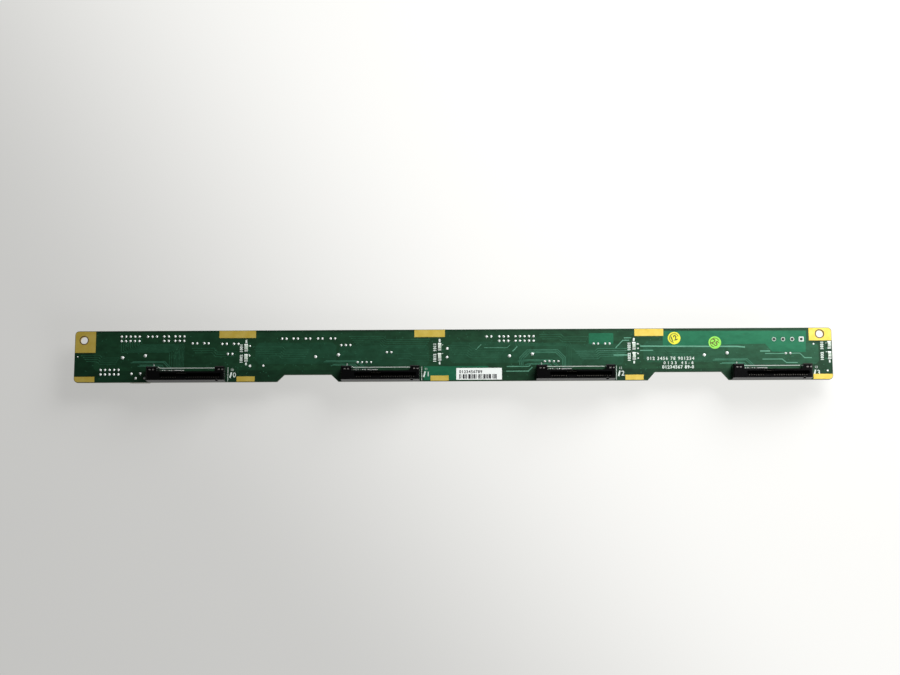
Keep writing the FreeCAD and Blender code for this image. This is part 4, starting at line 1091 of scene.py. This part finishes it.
def foot_solder(chosen):
    """Mounds over the feet of the chosen tails of each bay: z = h (1 - u^2)(1 - v^2) over a small rectangle."""
    u, v = np.meshgrid(np.linspace(-1, 1, 7), np.linspace(-1, 1, 9))
    level = BOARD_TOP + 0.2 * (1 - u ** 2) * (1 - v ** 2) + 0.02
    parts = []
    for low, high in TAILS:
        order = np.argsort(low[:, 0])[chosen]
        for left, right in zip(low[order], high[order]):
            middle_x, half_x = (left[0] + right[0]) / 2, (right[0] - left[0]) / 2 + 0.08
            points = np.stack([middle_x + half_x * u, right[1] - 0.6 + 0.28 * v, level], axis=-1)
            parts.append((points.reshape(-1, 3), grid_faces(9, 7, False)))
    return joined(parts)


SIGNAL_FEET = [1, 2, 4, 5] + list(range(7, len(TAILS[0][0])))
GROUND_FEET = [0, 3, 6]
# The tails are dark metal: painted shade under the connector's far side.
formed = new_piece("formed_tails", *formed_tails(), PAINTED_SHADE_METAL, "tin")
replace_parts(formed, *[f"rear_tails_{bay}" for bay in range(BAYS)])
new_piece("signal_feet", *foot_solder(SIGNAL_FEET), SOLDER_PAINTED_SHINE, "solder", smooth=True)
new_piece("ground_feet", *foot_solder(GROUND_FEET), LOCK_METAL, "solder", smooth=True)

# %% [markdown]
# ## Capacitors on the rear side
# A capacitor is an aluminium can in a shrunk sleeve. The sleeve is rolled over both rims and pinched in near
# the leads; its top shows the bare can with scored relief lines. The CAD can is a plain prism, so one profile
# turned about all the places at once takes over from it.

# %% Sleeved capacitors
ROLL_SHARE = 0.045
TOP_SHARE = 0.03


def can_profile(radius, height):
    """Sleeve profile from the bench end (z = 0) to the board: rim roll, wall, pinch near the board, end roll.

    Each roll is a quarter circle of 0.045 of the height. The pinch is r(z) = R - d exp(-((z - z0) / w)^2).
    """
    turn = np.linspace(0, math.pi / 2, 7)
    roll = ROLL_SHARE * height
    wall = np.linspace(roll, height - roll, 40)
    depth, centre, width = 0.11 * radius, 0.80 * height, 0.035 * height
    pinched = radius - depth * np.exp(-((wall - centre) / width) ** 2)
    lower = np.column_stack([radius - roll * (1 - np.sin(turn)), roll * (1 - np.cos(turn))])
    upper = np.column_stack([radius - roll * (1 - np.cos(turn)), height - roll * (1 - np.sin(turn))])
    side = np.column_stack([pinched, wall])
    inner = np.array([[radius * 0.80, roll / 2]])
    return np.vstack([inner, lower, side[1:-1], upper, [[POLE, height]]]).T


CAN_RADIUS = float((CAN_HIGH - CAN_LOW)[0, 1] / 2)
CAN_HEIGHT = float((CAN_HIGH - CAN_LOW)[0, 2])
CAN_CENTRES = np.column_stack([(CAN_LOW + CAN_HIGH)[:, :2] / 2, CAN_LOW[:, 2]])
sleeve_radii, sleeve_heights = can_profile(CAN_RADIUS, CAN_HEIGHT)
sleeves = new_piece("capacitor_sleeves", *turned(CAN_CENTRES, sleeve_radii, sleeve_heights, 48),
                    SLEEVE, "capacitor_sleeve", smooth=True)
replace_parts(sleeves, "capacitors")
top_radii = np.linspace(POLE, CAN_RADIUS * 0.82, 5)
new_piece("capacitor_tops", *turned(CAN_CENTRES, top_radii, np.full(5, TOP_SHARE * CAN_HEIGHT), 48),
          CAN_TOP, "tin", smooth=True)

# %% Stripes and relief lines
STRIPE_RISE = 0.02
STRIPE_HALF_TURN = 0.44


def stripes():
    """A pale stripe down each sleeve: the sleeve's profile, 0.02 mm further out, over a 50 degree arc."""
    angle = math.pi + np.linspace(-STRIPE_HALF_TURN, STRIPE_HALF_TURN, 9)
    wall = slice(8, 46)
    radii, heights = sleeve_radii[wall] + STRIPE_RISE, sleeve_heights[wall]
    grid = np.stack([radii[:, None] * np.cos(angle), radii[:, None] * np.sin(angle),
                     np.repeat(heights[:, None], len(angle), axis=1)], axis=-1).reshape(-1, 3)
    return joined([(grid + centre, grid_faces(len(radii), len(angle), False)) for centre in CAN_CENTRES])


def relief_lines():
    """Two crossed score lines on each can's bare end: narrow boxes sunk by half their height, dark with painted
    shade.
    """
    parts = []
    for x, y, z in CAN_CENTRES:
        for turn in (math.pi / 4, 3 * math.pi / 4):
            reach = CAN_RADIUS * 0.55 * np.array([math.cos(turn), math.sin(turn)])
            points, faces = strip([(x, y) - reach, (x, y) + reach], 0.22, 0.05, under=True)
            points[:, 2] += z + TOP_SHARE * CAN_HEIGHT - BOARD_UNDER + 0.02
            parts.append((points, faces))
    return joined(parts)


new_piece("sleeve_stripes", *stripes(), SLEEVE_STRIPE, "capacitor_sleeve", smooth=True)
new_piece("relief_lines", *relief_lines(), PAINTED_SHADE_METAL, "tin")

# %% [markdown]
# ## Pins on the rear side
# Header pins are square wire, drawn to a blunt point. The inlet's pins are round and rounded at the tip. Both
# are turned profiles: the square pin has four corners round its axis, so it needs no modifier or chamfer.

# %% Square and round pins
POINT_SHARE = 0.15
NOSE_SHARE = 0.8


def square_pins(node):
    """Pins with r = w / sqrt(2) at the corners, narrowed to 55% over the last 0.15 of their length."""
    low, high = islands(node)
    half = (high - low)[0, 0] / math.sqrt(2)
    centres = np.column_stack([(low + high)[:, :2] / 2, high[:, 2]])
    length = (high - low)[:, 2, None]
    radii = half * np.array([POLE, 0.55, 0.8, 1.0, 1.0, POLE])
    heights = -length * np.array([1.0, 1.0, 0.93, 1.0 - POINT_SHARE, 0.0, 0.0])
    return turned(centres, radii, heights, 4, math.pi / 4)


def round_pins(node):
    """Pins whose tip is an elliptic nose: r = R cos t, h = -L + 0.8 R (1 - sin t)."""
    low, high = islands(node)
    radius, length = (high - low)[0, 1] / 2, (high - low)[0, 2]
    centres = np.column_stack([(low + high)[:, :2] / 2, high[:, 2]])
    nose = np.linspace(math.pi / 2, 0, 8)
    radii = np.concatenate([radius * np.cos(nose) + POLE, [radius, POLE]])
    heights = np.concatenate([-length + NOSE_SHARE * radius * (1 - np.sin(nose)), [0.0, 0.0]])
    return turned(centres, radii, heights, 32)


for name in ("header_pins", "staggered_header_pins"):
    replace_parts(new_piece(f"drawn_{name}", *square_pins(name), TIN, "tin"), name)
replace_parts(new_piece("turned_power_pins", *round_pins("power_inlet_pins"), TIN, "tin", smooth=True),
            "power_inlet_pins")

# %% [markdown]
# ## The underside
# The rear face carries the same kinds of work: print round each header and can, tracks between them, and vias.
# The same strip and ring functions make them, turned over so that they stand down from the board.

# %% Print and tracks under the board
PRINT_GAP = 0.12
EDGE_GAP = 0.2
REAR_STEP = 0.6


def rear_print():
    """A rectangle round each header and housing with a tick at one corner, and a circle round each can."""
    housings = [place(f"data_header_{bay}") for bay in range(BAYS)]
    parts = []
    for low, high in HEADER_BASES + housings + [place("power_inlet"), place("staggered_header")]:
        (left, near), right = low[:2] - PRINT_GAP, high[0] + PRINT_GAP
        top = min(high[1] + PRINT_GAP, FAR_Y - EDGE_GAP)
        parts += frame_strip(left, near, right, top, 0.2, PRINT_RISE, under=True)
        parts.append(strip([(low[0] - 0.9, top - 0.6), (low[0] - 0.4, top - 0.1)], 0.3, PRINT_RISE, under=True))
    parts.append(ring(CAN_CENTRES, CAN_RADIUS - 0.1, CAN_RADIUS + PRINT_GAP, PRINT_RISE, 40, under=True))
    return joined(parts)


def rear_routes(x):
    """Routes under one connector: two groups of parallel lanes with a 45 degree jog, six near and five far."""
    for k in range(6):
        y, jogged = -4.0 - REAR_STEP * k, -7.0 - REAR_STEP * k
        yield [(x - 20.5, y), (x - 8.0 - k, y), (x - 5.0 - k, jogged), (x + 14.0 - k, jogged)]
    for k in range(5):
        y, jogged = 3.6 - REAR_STEP * k, 1.1 - REAR_STEP * k
        yield [(x - 19.5 + 0.9 * k, y), (x + 8.0, y), (x + 10.5, jogged), (x + 17.0 - 0.7 * k, jogged)]


rear_tracks = [strip(route, TRACK_WIDTH, TRACK_RISE, under=True) for x in CONNECTOR_X for route in rear_routes(x)]
new_piece("rear_print", *rear_print(), PRINT, "label")
new_piece("rear_tracks", *joined(rear_tracks), MASK_TRACE, "solder_mask")
new_piece("rear_vias", *via_rings(vias[::2], under=True), MASK_TRACE, "solder_mask")

# %% [markdown]
# ## Stage, light and camera
# The bench is a pale plane. A close soft lamp stands behind the right half of the board, so the mask, the gold
# and the bench grow brighter from left to right, and a weaker lamp in front fills the near faces. A white bench
# lit by lamps alone would need so much light that the part would be too bright. So what the camera and mirrors
# see of the bench is partly its own glow, while the part is lit by the lamps, and its shadow stays. The glow is
# stronger towards the back right: a painted pool of light that adds to the lamp's own gradient on the bench.

# %% Bench
BENCH_GLOW = 0.72
MIRRORED_SHARE = 0.5
BENCH_HALF = 4.0
GLOW_COLOR = (1.0, 0.995, 0.965, 1.0)
# Painted light: the glow's strength rises towards the back right, a painted pool of light on the bench.
PAINTED_LIGHT_DIRECTION = (1.0, 0.8, 0.0)
PAINTED_LIGHT_START, PAINTED_LIGHT_END = -0.22, 0.09
PAINTED_LIGHT_LOW, PAINTED_LIGHT_HIGH = 0.60, 1.0


def math_node(material, operation):
    """A Math node that does one operation on its two or three inputs."""
    made = node(material, "ShaderNodeMath")
    made.operation = operation
    return made


def bench_finish():
    """Matt white, mixed with a glow that rises by a smoothstep from low to high strength: painted light,
    brightest at the back right.

    The camera sees the glow at a share of BENCH_GLOW, and mirrors and glass see it at half of that share.
    """
    material = finish("bench_top", (0.86, 0.86, 0.845), 0.7)
    shader = material.node_tree.nodes["Principled BSDF"]
    output = material.node_tree.nodes["Material Output"]
    path = node(material, "ShaderNodeLightPath")
    glow = node(material, "ShaderNodeEmission", Color=GLOW_COLOR)
    place_in = node(material, "ShaderNodeTexCoord")
    along = node(material, "ShaderNodeVectorMath")
    along.operation = "DOT_PRODUCT"
    along.inputs[1].default_value = PAINTED_LIGHT_DIRECTION
    # painted light: the glow grows stronger along the direction towards the back right
    rise = node(material, "ShaderNodeMapRange", From_Min=PAINTED_LIGHT_START, From_Max=PAINTED_LIGHT_END,
                To_Min=PAINTED_LIGHT_LOW, To_Max=PAINTED_LIGHT_HIGH)
    rise.interpolation_type = "SMOOTHSTEP"
    link(material, place_in.outputs["Object"], along.inputs[0])
    link(material, along.outputs["Value"], rise.inputs["Value"])
    link(material, rise.outputs["Result"], glow.inputs["Strength"])
    mirrored = math_node(material, "MAXIMUM")
    seen = math_node(material, "MULTIPLY_ADD")
    seen.inputs[1].default_value = MIRRORED_SHARE
    share = math_node(material, "MULTIPLY")
    share.inputs[1].default_value = BENCH_GLOW
    mix = node(material, "ShaderNodeMixShader")
    link(material, path.outputs["Is Glossy Ray"], mirrored.inputs[0])
    link(material, path.outputs["Is Transmission Ray"], mirrored.inputs[1])
    link(material, mirrored.outputs["Value"], seen.inputs[0])
    link(material, path.outputs["Is Camera Ray"], seen.inputs[2])
    link(material, seen.outputs["Value"], share.inputs[0])
    link(material, share.outputs["Value"], mix.inputs["Fac"])
    link(material, shader.outputs["BSDF"], mix.inputs[1])
    link(material, glow.outputs["Emission"], mix.inputs[2])
    link(material, mix.outputs["Shader"], output.inputs["Surface"])
    return material


def bench():
    """A wide pale square at the level of the part's lowest points."""
    mesh = bpy.data.meshes.new("bench")
    corners = BENCH_HALF * np.array([(-1, -1), (1, -1), (1, 1), (-1, 1)])
    points = np.column_stack([corners, np.full(len(corners), cad_low[2])])
    mesh.from_pydata(points.tolist(), [], [(0, 1, 2, 3)])
    plane = bpy.data.objects.new("bench", mesh)
    bpy.context.scene.collection.objects.link(plane)
    mesh.materials.append(bench_finish())
    return plane


print("bench top at", round(bench().data.vertices[0].co.z / MM, 2), "mm")


# %% Light
ROOM_STRENGTH = 0.08


def soft_lamp(name, location, size, power):
    """A square area lamp that faces the board's middle."""
    data = bpy.data.lights.new(name, "AREA")
    data.shape = "SQUARE"
    data.size = size
    data.energy = power
    lamp = bpy.data.objects.new(name, data)
    lamp.location = location
    lamp.rotation_euler = (-Vector(location)).to_track_quat("-Z", "Y").to_euler()
    bpy.context.scene.collection.objects.link(lamp)


soft_lamp("window_lamp", (0.30, 0.38, 0.38), size=0.42, power=5.2)
soft_lamp("fill_lamp", (0.62, -0.55, 0.40), size=0.5, power=4.0)
world = bpy.data.worlds.new("room")
world.use_nodes = True
room = world.node_tree.nodes["Background"]
room.inputs["Color"].default_value = (1.0, 1.0, 1.0, 1.0)
room.inputs["Strength"].default_value = ROOM_STRENGTH
bpy.context.scene.world = world
print("lamps:", len(bpy.data.lights))


# %% [markdown]
# The camera looks almost straight down from the connector side. It is given by three lengths and three angles,
# with no target, so that its place is plain to read.

# %% Camera
EYE = (0.019295, -0.161984, 0.962024)
EYE_DEGREES = (10.2744, 1.2320, -0.0697)
FOCAL_LENGTH = 68.44


def camera():
    """The viewpoint: almost straight down, 10 degrees towards the connector side."""
    data = bpy.data.cameras.new("camera")
    data.sensor_width = 36.0
    data.lens = FOCAL_LENGTH
    data.clip_start = 0.05
    data.clip_end = 10.0
    eye = bpy.data.objects.new("camera", data)
    eye.location = EYE
    eye.rotation_euler = [math.radians(angle) for angle in EYE_DEGREES]
    bpy.context.scene.collection.objects.link(eye)
    bpy.context.scene.camera = eye


camera()
bpy.context.scene.view_settings.view_transform = "Standard"
print("camera at", EYE)
